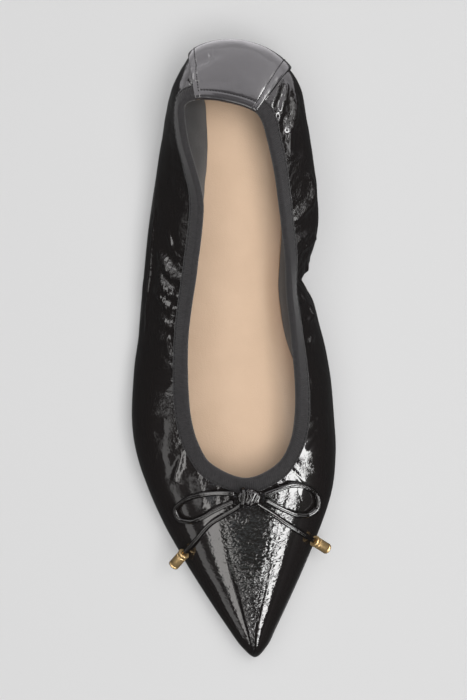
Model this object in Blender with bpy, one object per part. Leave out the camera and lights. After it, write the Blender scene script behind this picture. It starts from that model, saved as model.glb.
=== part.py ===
"""Pointed toe flat shoe for the right foot, with a gathered collar, a heel patch and a cord bow.

Sizes are in millimetres until the meshes are made. A place on the shoe is given as across
(minus is the lateral side, plus the medial side), from_heel (from the rearmost point towards the
toe) and height above the floor. The toe points along -Y and the lateral side along -X.
"""

import bmesh
import bpy
import numpy as np
from mathutils import Vector
from mathutils.bvhtree import BVHTree

MM = 0.001

# Driving sizes
LENGTH = 262.6
GAP = 0.3
OVERLAY_GAP = 0.4
WALL = 1.3
SOLE_THICKNESS = 3.2
SOLE_ROUNDING = 1.2
HEEL_HEIGHT = 8.0
HEEL_BREAST = 58.0
SHANK_END = 132.0
TREAD_END = 200.0
TOE_SPRING = 5.0
TOP_PIECE_THICKNESS = 2.6
SOLE_RIM = 1.1
INSOLE_THICKNESS = 3.0
INSOLE_CROWN = 1.2
BINDING_DEPTH = 5.2
BINDING_THICKNESS = 0.6
PATCH_THICKNESS = 0.9
PATCH_LATERAL_SHARE = 0.932
PATCH_MEDIAL_SHARE = 0.888
CORD_RADIUS = 1.1
TIP_LENGTH = 8.6
TIP_RIM_RADIUS = 2.4
TIP_RADIUS = 2.1
NOSE_RADIUS = 9.0
NOSE_DROP = 6.5
WALL_LEAN = 75.0

# How the ridge down the middle of the toe climbs to the throat.
RIDGE_ROWS = [
    # from_heel, height
    (150.0, 39.5),
    (168.0, 37.0),
    (187.0, 33.5),
    (205.0, 29.8),
    (222.0, 26.3),
    (240.0, 22.8),
    (LENGTH, 18.5),
]

# The widest line of the upper seen from above, and its height on each side.
EDGE_ROWS = [
    # from_heel, lateral, medial, lateral_height, medial_height
    (4.0, -14.0, 12.8, 25.0, 26.0),
    (10.5, -20.0, 22.8, 23.5, 26.0),
    (20.0, -25.2, 29.0, 20.0, 25.5),
    (32.0, -28.2, 31.6, 17.0, 24.0),
    (45.0, -30.4, 34.0, 15.5, 23.0),
    (60.0, -32.6, 36.0, 15.0, 22.0),
    (80.0, -35.6, 36.6, 13.5, 20.5),
    (98.0, -37.6, 32.6, 11.5, 17.5),
    (118.0, -39.7, 36.8, 9.0, 15.5),
    (140.0, -42.3, 41.4, 9.0, 13.0),
    (160.0, -43.1, 43.3, 10.5, 12.0),
    (175.0, -41.2, 44.0, 10.5, 11.5),
    (190.0, -36.2, 42.6, 10.5, 11.0),
    (205.0, -29.6, 38.0, 10.5, 11.0),
    (220.0, -21.2, 31.7, 11.0, 11.0),
    (235.0, -11.8, 24.9, 11.5, 11.5),
    (250.0, -1.9, 17.9, 12.0, 12.0),
    (257.5, 3.6, 14.3, 12.0, 12.0),
]
EDGE_TOE = (9.4, LENGTH - 0.7, 12.0)
EDGE_BACK = (0.0, 1.2, 26.0)

# The outsole's outline.
SOLE_ROWS = [
    # from_heel, lateral, medial
    (8.0, -15.0, 9.0),
    (14.0, -20.5, 15.5),
    (25.0, -26.2, 21.0),
    (42.0, -30.4, 24.4),
    (60.0, -33.2, 25.2),
    (80.0, -36.2, 24.9),
    (100.0, -38.4, 23.7),
    (118.0, -40.2, 25.0),
    (140.0, -41.6, 31.4),
    (160.0, -41.3, 37.2),
    (175.0, -39.4, 40.0),
    (190.0, -35.4, 41.0),
    (205.0, -29.6, 37.9),
    (220.0, -21.6, 32.1),
    (235.0, -12.4, 25.5),
    (250.0, -2.4, 18.5),
    (257.5, 3.2, 14.8),
]
SOLE_TOE = (9.4, LENGTH)
SOLE_BACK = (-3.0, 5.5)

# The collar's top edge on each side, from the back to the throat.
COLLAR_LATERAL_ROWS = [
    # across, from_heel, height
    (-13.5, 25.8, 46.0),
    (-19.4, 28.0, 45.6),
    (-20.6, 33.5, 45.0),
    (-18.8, 46.0, 43.6),
    (-15.4, 58.0, 42.2),
    (-12.9, 69.0, 41.0),
    (-13.6, 82.0, 39.6),
    (-15.4, 96.0, 38.2),
    (-17.8, 112.0, 36.8),
    (-19.5, 128.0, 35.8),
    (-19.4, 145.0, 34.8),
    (-18.0, 160.0, 34.2),
    (-14.6, 171.5, 33.8),
    (-8.4, 180.4, 33.6),
]
COLLAR_MEDIAL_ROWS = [
    (8.5, 29.8, 46.0),
    (14.0, 34.0, 45.6),
    (17.8, 46.0, 44.4),
    (20.4, 58.0, 43.2),
    (22.0, 69.0, 42.0),
    (23.5, 82.0, 40.6),
    (24.7, 96.0, 39.4),
    (25.8, 112.0, 38.2),
    (27.5, 128.0, 37.2),
    (28.8, 145.0, 36.2),
    (28.4, 160.0, 35.4),
    (25.7, 171.5, 34.6),
    (20.0, 180.4, 34.0),
]
COLLAR_FRONT = (6.6, 186.3, 33.4)
COLLAR_BACK = (-3.0, 26.6, 46.2)

# The wall above its widest line is a full arc where its roundness is 1, and leans flat where it is 0.
ROUNDNESS_ROWS = [
    # share of the way from toe to back, roundness
    (0.0, 1.0),
    (0.38, 0.85),
    (0.52, 0.55),
    (0.78, 0.55),
    (0.90, 0.85),
    (1.0, 1.0),
]

# How far along the collar a rib ends that starts that far along the edge, from toe to back.
RIB_ROWS = [
    # share of the edge, share of the collar
    (0.0, 0.0),
    (0.12, 0.055),
    (0.25, 0.12),
    (0.37, 0.20),
    (0.50, 0.34),
    (0.70, 0.615),
    (0.88, 0.897),
    (0.93, 0.935),
    (1.0, 1.0),
]
VAMP_SHARES = (0.20, 0.40)

# Inner rings of the sole's outline: width kept, and lengths cut at the toe and at the back.
WHOLE_RING = (1.0, 0.0, 0.0)
LASTING_RING = (0.78, 17.0, 8.0)
INSOLE_RING = (0.885, 8.0, 4.0)
PLUG_RING = (0.755, 19.0, 9.5)
CROWN_RING = (0.45, 26.0, 16.0)
TYPICAL_HALF_WIDTH = 32.0

SIDE_COLUMNS = 34
COLUMN_CROWDING = 0.6
LOWER_SHARES = (0.0, 0.14, 0.5, 1.0)
UPPER_SHARES = (0.1, 0.25, 0.45, 0.7, 1.0)
CURVE_STEPS = 24

# The bow's cords in plan, each point with its clearance over the upper.
KNOT_PLACE = (7.8, 192.4, 3.9)
KNOT_RADII = (5.4, 3.3, 2.3)
LOOP_LATERAL = [
    # across, from_heel, clearance
    (1.8, 190.9, 1.8),
    (-5.5, 190.8, 1.2),
    (-14.0, 192.2, 0.8),
    (-20.0, 194.9, 0.6),
    (-22.8, 198.6, 0.6),
    (-21.6, 201.8, 0.6),
    (-17.2, 203.2, 0.6),
    (-12.6, 201.8, 0.6),
    (-6.6, 198.2, 0.8),
    (1.2, 194.2, 1.6),
]
LOOP_MEDIAL = [
    (13.8, 191.4, 1.8),
    (19.0, 189.4, 1.6),
    (25.0, 187.7, 0.8),
    (31.0, 188.6, 0.6),
    (35.4, 192.6, 0.6),
    (35.4, 197.2, 0.6),
    (32.2, 200.2, 0.6),
    (27.6, 200.4, 0.6),
    (21.4, 197.8, 0.8),
    (14.4, 193.8, 1.6),
]
TAIL_LATERAL = [
    (3.4, 196.4, 1.2),
    (-2.4, 200.2, 0.6),
    (-8.4, 204.2, 0.5),
    (-13.6, 210.2, 0.6),
    (-18.2, 216.0, 1.7),
]
TAIL_MEDIAL = [
    (12.0, 196.2, 1.2),
    (17.6, 200.0, 0.6),
    (23.2, 204.2, 0.5),
    (28.2, 207.6, 0.6),
    (32.6, 210.9, 1.7),
]
CORD_POINT_EVERY = 4.4

# Colour, roughness and metallic value of each finish.
FINISHES = {
    "patent_leather": ((0.012, 0.011, 0.012), 0.12, 0.0),
    "patch_leather": ((0.014, 0.013, 0.015), 0.08, 0.0),
    "binding_fabric": ((0.030, 0.030, 0.036), 0.85, 0.0),
    "insole_leather": ((0.72, 0.50, 0.34), 0.55, 0.0),
    "sole_rubber": ((0.018, 0.017, 0.017), 0.6, 0.0),
    "heel_stack": ((0.016, 0.015, 0.015), 0.4, 0.0),
    "gold_metal": ((0.83, 0.62, 0.31), 0.25, 1.0),
}


def clear_scene():
    """Removes everything that the scene starts with."""
    for thing in list(bpy.data.objects):
        bpy.data.objects.remove(thing)


def column(rows, index):
    """One column of a table as an array."""
    return np.array([row[index] for row in rows], float)


def smooth_between(keys, values, at):
    """Cubic curve through a table's values, with tangents from the neighbours on each side."""
    slopes = np.gradient(values, keys)
    slopes[0], slopes[-1] = 1.5 * slopes[0] - 0.5 * slopes[1], 1.5 * slopes[-1] - 0.5 * slopes[-2]
    place = np.clip(np.searchsorted(keys, at) - 1, 0, len(keys) - 2)
    span = keys[place + 1] - keys[place]
    t = np.clip((at - keys[place]) / span, 0.0, 1.0)
    start, end = values[place], values[place + 1]
    rise_start, rise_end = slopes[place] * span, slopes[place + 1] * span
    return (
        start * (1 + 2 * t) * (1 - t) ** 2
        + rise_start * t * (1 - t) ** 2
        + end * t**2 * (3 - 2 * t)
        - rise_end * t**2 * (1 - t)
    )


def table_value(rows, at):
    """The smooth value of a table's second column where its first column has this value."""
    return smooth_between(column(rows, 0), column(rows, 1), np.asarray(at, float))


def ease(low, high, at):
    """0 below low, 1 above high, and a smooth step between."""
    t = np.clip((at - low) / (high - low), 0.0, 1.0)
    return t * t * (3 - 2 * t)


def path_length(points):
    """Distance along a path at each of its points."""
    steps = np.linalg.norm(np.diff(points, axis=0), axis=1)
    return np.concatenate([[0.0], np.cumsum(steps)])


def along(points, distances):
    """Points of a path at these distances from its start."""
    travelled = path_length(points)
    return np.stack([np.interp(distances, travelled, points[:, k]) for k in range(points.shape[1])], 1)


def closed_curve(points):
    """A smooth closed curve through points."""
    count = len(points)
    chords = np.sqrt(np.linalg.norm(np.roll(points, -1, 0) - points, axis=1))[:, None]
    before = np.roll(chords, 1, 0)
    tangents = (np.roll(points, -1, 0) - np.roll(points, 1, 0)) / (chords + before)
    made = []
    for i in range(count):
        start, end = points[i], points[(i + 1) % count]
        leave, arrive = tangents[i] * chords[i], tangents[(i + 1) % count] * chords[i]
        for t in np.arange(CURVE_STEPS) / CURVE_STEPS:
            made.append(
                start * (1 + 2 * t) * (1 - t) ** 2
                + leave * t * (1 - t) ** 2
                + end * t**2 * (3 - 2 * t)
                - arrive * t**2 * (1 - t)
            )
    return np.array(made)


class Loop:
    """A closed line round the shoe. Each side runs from the toe to the back by its share of the length."""

    def __init__(self, toe, lateral, back, medial):
        curve = closed_curve(np.array([toe, *reversed(lateral), back, *medial], float))
        turn = (len(lateral) + 1) * CURVE_STEPS
        self.sides = {
            "lateral": curve[: turn + 1],
            "medial": np.concatenate([curve[turn:], curve[:1]])[::-1],
        }

    def at(self, side, share):
        """The point at a share of the way from toe to back."""
        points = self.sides[side]
        return along(points, np.array([share * path_length(points)[-1]]))[0]

    def across(self, side, from_heel):
        """How far across the side lies at a distance from the heel."""
        points = self.sides[side]
        order = np.argsort(points[:, 1])
        return np.interp(from_heel, points[order, 1], points[order, 0])

    def middle(self, from_heel):
        """The middle between both sides at a distance from the heel."""
        return (self.across("lateral", from_heel) + self.across("medial", from_heel)) / 2


def side_points(rows, index):
    """The points of one side from a table whose rows hold both sides: across, from_heel and any height."""
    return [(row[index], row[0]) + tuple(row[index + 2 : index + 3]) for row in rows]


edge_loop = Loop(EDGE_TOE, side_points(EDGE_ROWS, 1), EDGE_BACK, side_points(EDGE_ROWS, 2))
sole_loop = Loop(SOLE_TOE, side_points(SOLE_ROWS, 1), SOLE_BACK, side_points(SOLE_ROWS, 2))
collar_loop = Loop(COLLAR_FRONT, COLLAR_LATERAL_ROWS, COLLAR_BACK, COLLAR_MEDIAL_ROWS)


def sole_underside(from_heel):
    """Height of the outsole's underside: a flat heel seat, a shank, a flat tread and toe spring."""
    shank = HEEL_HEIGHT * (1 - ease(HEEL_BREAST + 2, SHANK_END, from_heel))
    toe = TOE_SPRING * np.clip((from_heel - TREAD_END) / (LENGTH - TREAD_END), 0, 1) ** 1.8
    return shank + toe


def sole_top(from_heel):
    """Height of the face that the upper is lasted to."""
    return sole_underside(from_heel) + SOLE_THICKNESS


def drawn_in(inset):
    """The ring that lies about that far inside the sole's outline."""
    return (1 - inset / TYPICAL_HALF_WIDTH, inset, inset)


def ring_point(side, share, ring):
    """A point of the sole's outline drawn in: its width scaled about the middle, its ends cut short."""
    width_kept, toe_cut, back_cut = ring
    across, from_heel = sole_loop.at(side, share)
    back, toe = SOLE_BACK[1], SOLE_TOE[1]
    moved = back + back_cut + (from_heel - back) * (1 - (toe_cut + back_cut) / (toe - back))
    offset = (across - sole_loop.middle(from_heel)) * width_kept
    return np.array([sole_loop.middle(moved) + offset, moved])


def ridge_height(from_heel):
    """Height of the ridge down the middle of the toe, rounded over at its tip."""
    ramp = table_value(RIDGE_ROWS, from_heel)
    past_nose = np.clip((EDGE_TOE[1] - from_heel) / NOSE_RADIUS, 0, 1)
    return ramp - NOSE_DROP * (1 - np.sqrt(1 - (1 - past_nose) ** 2))


def vamp_height(across, from_heel, base):
    """Height of the vamp: an elliptical arch from a base height at the edge up to the ridge."""
    lateral = edge_loop.across("lateral", from_heel)
    medial = edge_loop.across("medial", from_heel)
    half = np.maximum((medial - lateral) / 2, 0.5)
    offset = np.clip((across - (lateral + medial) / 2) / half, -1, 1)
    return base + (ridge_height(from_heel) - base) * np.sqrt(1 - offset**2)


def lower_wall(side, share):
    """The wall from the sole out to its widest line, as a fine path."""
    foot_across, foot_from_heel = ring_point(side, share, drawn_in(SOLE_RIM))
    own_from_heel = sole_loop.at(side, share)[1]
    foot = np.array([foot_across, foot_from_heel, sole_top(own_from_heel) + GAP])
    climb = np.linspace(0, 1, 13)[:, None]
    bulge = 1 - (1 - climb) ** 2
    return foot + (edge_loop.at(side, share) - foot) * np.hstack([bulge, bulge, climb])


def upper_wall(side, share):
    """The wall from its widest line up to the collar: a vamp at the front, a leaning wall behind it."""
    edge = edge_loop.at(side, share)
    collar = collar_loop.at(side, table_value(RIB_ROWS, share))
    angle = np.linspace(0, np.radians(WALL_LEAN), 49)
    run = ((1 - np.cos(angle)) / (1 - np.cos(angle[-1])))[:, None]
    rise = (np.sin(angle) / np.sin(angle[-1]))[:, None]
    roundness = table_value(ROUNDNESS_ROWS, share)
    plan = edge[:2] + (collar[:2] - edge[:2]) * run
    wall = edge[2] + (collar[2] - edge[2]) * (roundness * rise + (1 - roundness) * run)
    arch = vamp_height(plan[:, 0], plan[:, 1], edge[2])[:, None]
    vamp = 1 - ease(*VAMP_SHARES, share)
    return np.hstack([plan, vamp * arch + (1 - vamp) * wall])


def rib(side, share):
    """One column of the wall's outer face: its rows from the sole up to the collar."""
    lower, upper = lower_wall(side, share), upper_wall(side, share)
    lower_rows = along(lower, np.array(LOWER_SHARES) * path_length(lower)[-1])
    whole = path_length(upper)[-1]
    up_to_binding = np.array(UPPER_SHARES) * (whole - BINDING_DEPTH)
    upper_rows = along(upper, np.append(up_to_binding, [whole - BINDING_DEPTH / 2, whole]))
    return np.vstack([lower_rows, upper_rows])


def columns_round():
    """The place of every column once round the shoe: toe, lateral side, back, medial side."""
    even = np.linspace(0, 1, SIDE_COLUMNS + 1)
    shares = even - COLUMN_CROWDING * np.sin(2 * np.pi * even) / (2 * np.pi)
    lateral = [("lateral", share) for share in shares]
    medial = [("medial", share) for share in shares[1:-1]]
    return lateral + medial[::-1]


def grid_normals(grid):
    """Unit normals of a closed grid of columns and rows, pointing out of the shoe."""
    round_step = np.roll(grid, -1, 0) - np.roll(grid, 1, 0)
    up_step = np.gradient(grid, axis=1)
    normals = np.cross(round_step, up_step)
    return normals / np.linalg.norm(normals, axis=2, keepdims=True)


def to_world(point):
    """A point of the shoe in the scene's metres, with the toe along -Y and the middle at the origin."""
    return Vector(((point[0] - CENTRE[0]) * MM, (CENTRE[1] - point[1]) * MM, point[2] * MM))


def finish(name):
    """The material of that name."""
    if name in bpy.data.materials:
        return bpy.data.materials[name]
    colour, roughness, metallic = FINISHES[name]
    made = bpy.data.materials.new(name)
    made.use_nodes = True
    shader = made.node_tree.nodes["Principled BSDF"]
    shader.inputs["Base Color"].default_value = (*colour, 1)
    shader.inputs["Roughness"].default_value = roughness
    shader.inputs["Metallic"].default_value = metallic
    return made


def mesh_object(name, points, faces, finish_name):
    """An object from points in metres and faces, turned to face out and shaded smooth up to 40 degrees."""
    shape = bmesh.new()
    corners = [shape.verts.new(point) for point in points]
    for face in faces:
        shape.faces.new([corners[i] for i in face])
    bmesh.ops.recalc_face_normals(shape, faces=shape.faces)
    data = bpy.data.meshes.new(name)
    shape.to_mesh(data)
    shape.free()
    data.shade_smooth()
    data.set_sharp_from_angle(angle=np.radians(40))
    data.materials.append(finish(finish_name))
    made = bpy.data.objects.new(name, data)
    bpy.context.scene.collection.objects.link(made)


def side_faces(count, size, closed):
    """Faces between sections that follow one another, each a closed ring of the same size."""
    faces = []
    for i in range(count if closed else count - 1):
        after = (i + 1) % count
        for j in range(size):
            nearby = (j + 1) % size
            faces.append((i * size + j, i * size + nearby, after * size + nearby, after * size + j))
    return faces


def swept(name, sections, finish_name, closed):
    """A solid from sections in the shoe's millimetres: a ring where closed, otherwise with two ends."""
    count, size = len(sections), len(sections[0])
    faces = side_faces(count, size, closed)
    if not closed:
        faces += [tuple(range(size)), tuple(range((count - 1) * size, count * size))]
    mesh_object(name, [to_world(p) for section in sections for p in section], faces, finish_name)


def ladder(start, size):
    """Faces that close a ring, from its lateral side across to its medial side."""
    half = size // 2
    faces = [(start, start + 1, start + size - 1), (start + half - 1, start + half, start + half + 1)]
    for i in range(1, half - 1):
        faces.append((start + i, start + i + 1, start + size - i - 1, start + size - i))
    return faces


def stacked(name, rings, finish_name):
    """A solid from rings laid over each other, closed across at the bottom and at the top."""
    count, size = len(rings), len(rings[0])
    faces = side_faces(count, size, closed=False) + ladder(0, size) + ladder((count - 1) * size, size)
    mesh_object(name, [to_world(p) for ring in rings for p in ring], faces, finish_name)


COLUMNS = columns_round()
CENTRE = (
    (edge_loop.sides["lateral"][:, 0].min() + edge_loop.sides["medial"][:, 0].max()) / 2,
    (SOLE_TOE[1] + EDGE_BACK[1] - OVERLAY_GAP - PATCH_THICKNESS) / 2,
)
OUTER = np.array([rib(*place) for place in COLUMNS])
NORMALS = grid_normals(OUTER)


def beyond_edge(index, distance, offset):
    """A point past the collar's edge on one column, that far out from the wall's outer face."""
    up = OUTER[index, -1] - OUTER[index, -2]
    return OUTER[index, -1] + up / np.linalg.norm(up) * distance + NORMALS[index, -1] * offset


def fold_over_edge(index, thickness):
    """The fold of a layer that wraps the collar's edge: its outer line inwards, and its inner line back."""
    near, far = OVERLAY_GAP, OVERLAY_GAP + thickness
    shoulder = near + thickness * 0.7
    over = [
        beyond_edge(index, shoulder, near),
        beyond_edge(index, far, -WALL / 2),
        beyond_edge(index, shoulder, -WALL - near),
    ]
    inner_far = OUTER[index] - NORMALS[index] * (WALL + far)
    inner_near = OUTER[index] - NORMALS[index] * (WALL + near)
    inside = [inner_far[-1], inner_far[-2], inner_far[-3], inner_near[-3], inner_near[-2]]
    under = [beyond_edge(index, near, -WALL - near), beyond_edge(index, near, near)]
    return over + inside + under


def build_outsole():
    """The outsole: a sheet with rounded edges that follows the profile of heel, shank, tread and toe."""
    def ring(kept, lift):
        made = []
        for side, share in COLUMNS:
            height = sole_underside(sole_loop.at(side, share)[1]) + lift
            made.append((*ring_point(side, share, kept), height))
        return made

    rings = [
        ring(drawn_in(SOLE_ROUNDING), 0.0),
        ring(WHOLE_RING, SOLE_ROUNDING),
        ring(WHOLE_RING, SOLE_THICKNESS - 0.4),
        ring(drawn_in(0.4), SOLE_THICKNESS),
    ]
    stacked("outsole", rings, "sole_rubber")


def heel_ring(inset, height):
    """The heel's outline behind its breast, as a ring at one height."""
    outline = []
    for side in ("lateral", "medial"):
        points = [ring_point(side, share, drawn_in(inset)) for share in np.linspace(0.6, 1, 161)]
        behind = np.array([point for point in points if point[1] <= HEEL_BREAST])
        spaced = along(behind, np.linspace(0, path_length(behind)[-1], 11))
        outline += list(spaced) if side == "lateral" else list(spaced[-2::-1])
    breast = (outline[0] + outline[-1]) / 2 - np.array([0.0, 3.0])
    return [(*point, height) for point in [breast, *outline]]


def build_heel():
    """The low heel block and the top piece under it."""
    block_rings = [
        heel_ring(1.8, TOP_PIECE_THICKNESS + GAP),
        heel_ring(1.4, HEEL_HEIGHT - GAP),
    ]
    stacked("heel_block", block_rings, "heel_stack")
    top_piece_rings = [
        heel_ring(2.6, 0.0),
        heel_ring(2.0, 0.6),
        heel_ring(1.9, TOP_PIECE_THICKNESS),
    ]
    stacked("heel_top_piece", top_piece_rings, "sole_rubber")


def build_insole():
    """The padded insole: its core fills the space between the lasted margins, and its top is crowned."""
    def ring(kept, lift):
        made = []
        for side, share in COLUMNS:
            across, from_heel = ring_point(side, share, kept)
            made.append((across, from_heel, sole_top(from_heel) + lift))
        return made

    seat = GAP + WALL + GAP
    top = seat + INSOLE_THICKNESS
    rings = [
        ring(PLUG_RING, GAP),
        ring(PLUG_RING, seat),
        ring(INSOLE_RING, seat),
        ring(INSOLE_RING, top - 0.6),
        ring(CROWN_RING, top + INSOLE_CROWN),
    ]
    stacked("insole", rings, "insole_leather")


def build_upper():
    """The upper's one wall, open at the collar and underneath, with its turned-in lasting margin."""
    inner = OUTER - NORMALS * WALL
    sections = []
    for i, (side, share) in enumerate(COLUMNS):
        foot = OUTER[i, 0]
        margin = ring_point(side, share, LASTING_RING)
        low = sole_top(margin[1]) + GAP
        inward = (margin - foot[:2]) / np.linalg.norm(margin - foot[:2])
        corner = (*(foot[:2] + inward * WALL), foot[2] + WALL)
        sections.append([*OUTER[i], *inner[i, :1:-1], corner, (*margin, low + WALL), (*margin, low)])
    swept("upper", sections, "patent_leather", closed=True)


def in_patch(index):
    """Whether a column lies under the heel patch."""
    side, share = COLUMNS[index]
    return share > (PATCH_LATERAL_SHARE if side == "lateral" else PATCH_MEDIAL_SHARE)


def build_binding():
    """The collar's folded tape, from one side of the heel patch round the throat to the other."""
    open_columns = [i for i in range(len(COLUMNS)) if not in_patch(i)]
    start = next(k for k in range(1, len(open_columns)) if open_columns[k] > open_columns[k - 1] + 1)
    outer_near = OUTER + NORMALS * OVERLAY_GAP
    outer_far = OUTER + NORMALS * (OVERLAY_GAP + BINDING_THICKNESS)
    sections = []
    for i in open_columns[start:] + open_columns[:start]:
        leg = [outer_near[i, -2], outer_near[i, -3], *outer_far[i, -3:]]
        sections.append(leg + fold_over_edge(i, BINDING_THICKNESS))
    swept("collar_binding", sections, "binding_fabric", closed=False)


def build_patch():
    """The smooth patch that covers the back from the sole up and folds over the collar there."""
    outer_near = OUTER + NORMALS * OVERLAY_GAP
    outer_far = OUTER + NORMALS * (OVERLAY_GAP + PATCH_THICKNESS)
    sections = []
    for i in filter(in_patch, range(len(COLUMNS))):
        leg = [*outer_near[i, -2:0:-1], *outer_far[i, 1:]]
        sections.append(leg + fold_over_edge(i, PATCH_THICKNESS))
    swept("heel_patch", sections, "patch_leather", closed=False)


class Drape:
    """Finds the upper's outer face under a place seen from above."""

    def __init__(self):
        count, rows = OUTER.shape[:2]
        faces = []
        for i in range(count):
            after = (i + 1) % count
            for j in range(rows - 1):
                faces.append((i * rows + j, after * rows + j, after * rows + j + 1, i * rows + j + 1))
        self.tree = BVHTree.FromPolygons([to_world(point) for point in OUTER.reshape(-1, 3)], faces)

    def over(self, across, from_heel, clearance):
        """The point, in metres, that lies that far out from the face over a place."""
        hit, normal, _, _ = self.tree.ray_cast(to_world((across, from_heel, 99.0)), Vector((0, 0, -1)))
        return hit + normal * (clearance * MM * (1 if normal.z > 0 else -1))


def cord_route(drape, rows):
    """The centre line of a cord laid over the upper, on one smooth curve, in metres."""
    points = np.array([drape.over(row[0], row[1], row[2] + CORD_RADIUS) for row in rows])
    reach = path_length(points)
    fine = np.linspace(0, reach[-1], 400)
    curve = np.stack([smooth_between(reach, points[:, k], fine) for k in range(3)], 1)
    length = path_length(curve)[-1]
    return along(curve, np.linspace(0, length, round(length / (CORD_POINT_EVERY * MM)) + 1))


def build_cord(name, route):
    """A round cord along a route, with closed ends."""
    data = bpy.data.curves.new(name, "CURVE")
    data.dimensions = "3D"
    data.bevel_depth = CORD_RADIUS * MM
    data.bevel_resolution = 2
    data.use_fill_caps = True
    line = data.splines.new("POLY")
    line.points.add(len(route) - 1)
    for place, point in zip(line.points, route):
        place.co = (*point, 1)
    data.materials.append(finish("patent_leather"))
    made = bpy.data.objects.new(name, data)
    bpy.context.scene.collection.objects.link(made)


def build_tip(name, route):
    """The metal tip of a cord: a tube with a rim where the cord goes in, in line with the cord's end."""
    end = Vector(route[-1])
    direction = (end - Vector(route[-2])).normalized()
    profile = [
        # distance along the tip, radius
        (GAP, TIP_RIM_RADIUS - 0.3),
        (GAP + 0.3, TIP_RIM_RADIUS),
        (GAP + 1.1, TIP_RIM_RADIUS),
        (GAP + 1.4, TIP_RADIUS),
        (TIP_LENGTH - 0.3, TIP_RADIUS),
        (TIP_LENGTH, TIP_RADIUS - 0.3),
    ]
    turn = direction.to_track_quat("Z", "Y")
    sides = 12
    points = []
    for distance, radius in profile:
        for angle in np.arange(sides) * 2 * np.pi / sides:
            spoke = Vector((np.cos(angle) * radius, np.sin(angle) * radius, distance))
            points.append(end + turn @ spoke * MM)
    faces = side_faces(len(profile), sides, closed=False)
    faces += [tuple(range(sides)), tuple(range(len(points) - sides, len(points)))]
    mesh_object(name, points, faces, "gold_metal")


def build_knot(drape):
    """The bow's knot, a flattened lump over the front of the collar's tape."""
    shape = bmesh.new()
    bmesh.ops.create_uvsphere(shape, u_segments=14, v_segments=8, radius=MM)
    bmesh.ops.scale(shape, vec=KNOT_RADII, verts=shape.verts)
    data = bpy.data.meshes.new("bow_knot")
    shape.to_mesh(data)
    shape.free()
    data.shade_smooth()
    data.materials.append(finish("patent_leather"))
    made = bpy.data.objects.new("bow_knot", data)
    made.location = drape.over(*KNOT_PLACE)
    bpy.context.scene.collection.objects.link(made)


def build_bow():
    """The cord bow: its knot, two loops, and two tails with metal tips."""
    drape = Drape()
    build_knot(drape)
    build_cord("bow_loop_lateral", cord_route(drape, LOOP_LATERAL))
    build_cord("bow_loop_medial", cord_route(drape, LOOP_MEDIAL))
    for side, rows in (("lateral", TAIL_LATERAL), ("medial", TAIL_MEDIAL)):
        route = cord_route(drape, rows)
        build_cord(f"bow_tail_{side}", route)
        build_tip(f"bow_tip_{side}", route)


def main():
    clear_scene()
    build_outsole()
    build_heel()
    build_insole()
    build_upper()
    build_binding()
    build_patch()
    build_bow()


main()
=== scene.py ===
"""Looks of the pointed toe flat shoe: crinkled patent upper gathered on its collar, patch, sock and bow.

Sizes are in millimetres until the meshes are made. A place on the shoe is given as across
(minus is the lateral side, plus the medial side), from_heel (from the rearmost point towards the
toe) and height above the floor. The toe points along -Y and the lateral side along -X.
"""

import bpy
import numpy as np
from mathutils import Matrix, Vector
from mathutils.bvhtree import BVHTree


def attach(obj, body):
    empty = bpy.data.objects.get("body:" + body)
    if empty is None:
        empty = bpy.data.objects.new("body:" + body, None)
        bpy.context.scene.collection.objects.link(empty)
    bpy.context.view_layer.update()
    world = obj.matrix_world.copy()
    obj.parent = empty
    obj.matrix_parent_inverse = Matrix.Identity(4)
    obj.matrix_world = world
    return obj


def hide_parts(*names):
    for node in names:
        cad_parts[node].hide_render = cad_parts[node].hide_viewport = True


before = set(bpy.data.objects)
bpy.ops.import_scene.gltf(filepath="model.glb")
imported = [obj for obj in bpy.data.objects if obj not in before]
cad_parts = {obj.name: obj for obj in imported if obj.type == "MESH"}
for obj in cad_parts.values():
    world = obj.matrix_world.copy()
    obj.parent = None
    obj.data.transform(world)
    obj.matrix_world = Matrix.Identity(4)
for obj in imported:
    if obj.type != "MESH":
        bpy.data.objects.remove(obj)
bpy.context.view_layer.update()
MM = 0.001

# Driving sizes, as in the CAD model
LENGTH = 262.6
GAP = 0.3
OVERLAY_GAP = 0.4
WALL = 1.3
LINING_ROOM = 0.45
SOLE_THICKNESS = 3.2
HEEL_HEIGHT = 8.0
HEEL_BREAST = 58.0
SHANK_END = 132.0
TREAD_END = 200.0
TOE_SPRING = 5.0
TOP_PIECE_THICKNESS = 2.6
SOLE_RIM = 1.1
SOLE_LOW_ROUND = 1.2
SOLE_HIGH_ROUND = 0.4
INSOLE_THICKNESS = 3.0
INSOLE_CROWN = 1.2
BINDING_DEPTH = 5.2
BINDING_THICKNESS = 0.6
PATCH_THICKNESS = 0.9
PATCH_LATERAL_SHARE = 0.935
PATCH_MEDIAL_SHARE = 0.903
CORD_RADIUS = 1.1
TIP_LENGTH = 8.6
TIP_RIM_RADIUS = 2.5
TIP_RADIUS = 2.35
NOSE_RADIUS = 9.0
NOSE_DROP = 6.5
WALL_LEAN = 75.0

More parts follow.
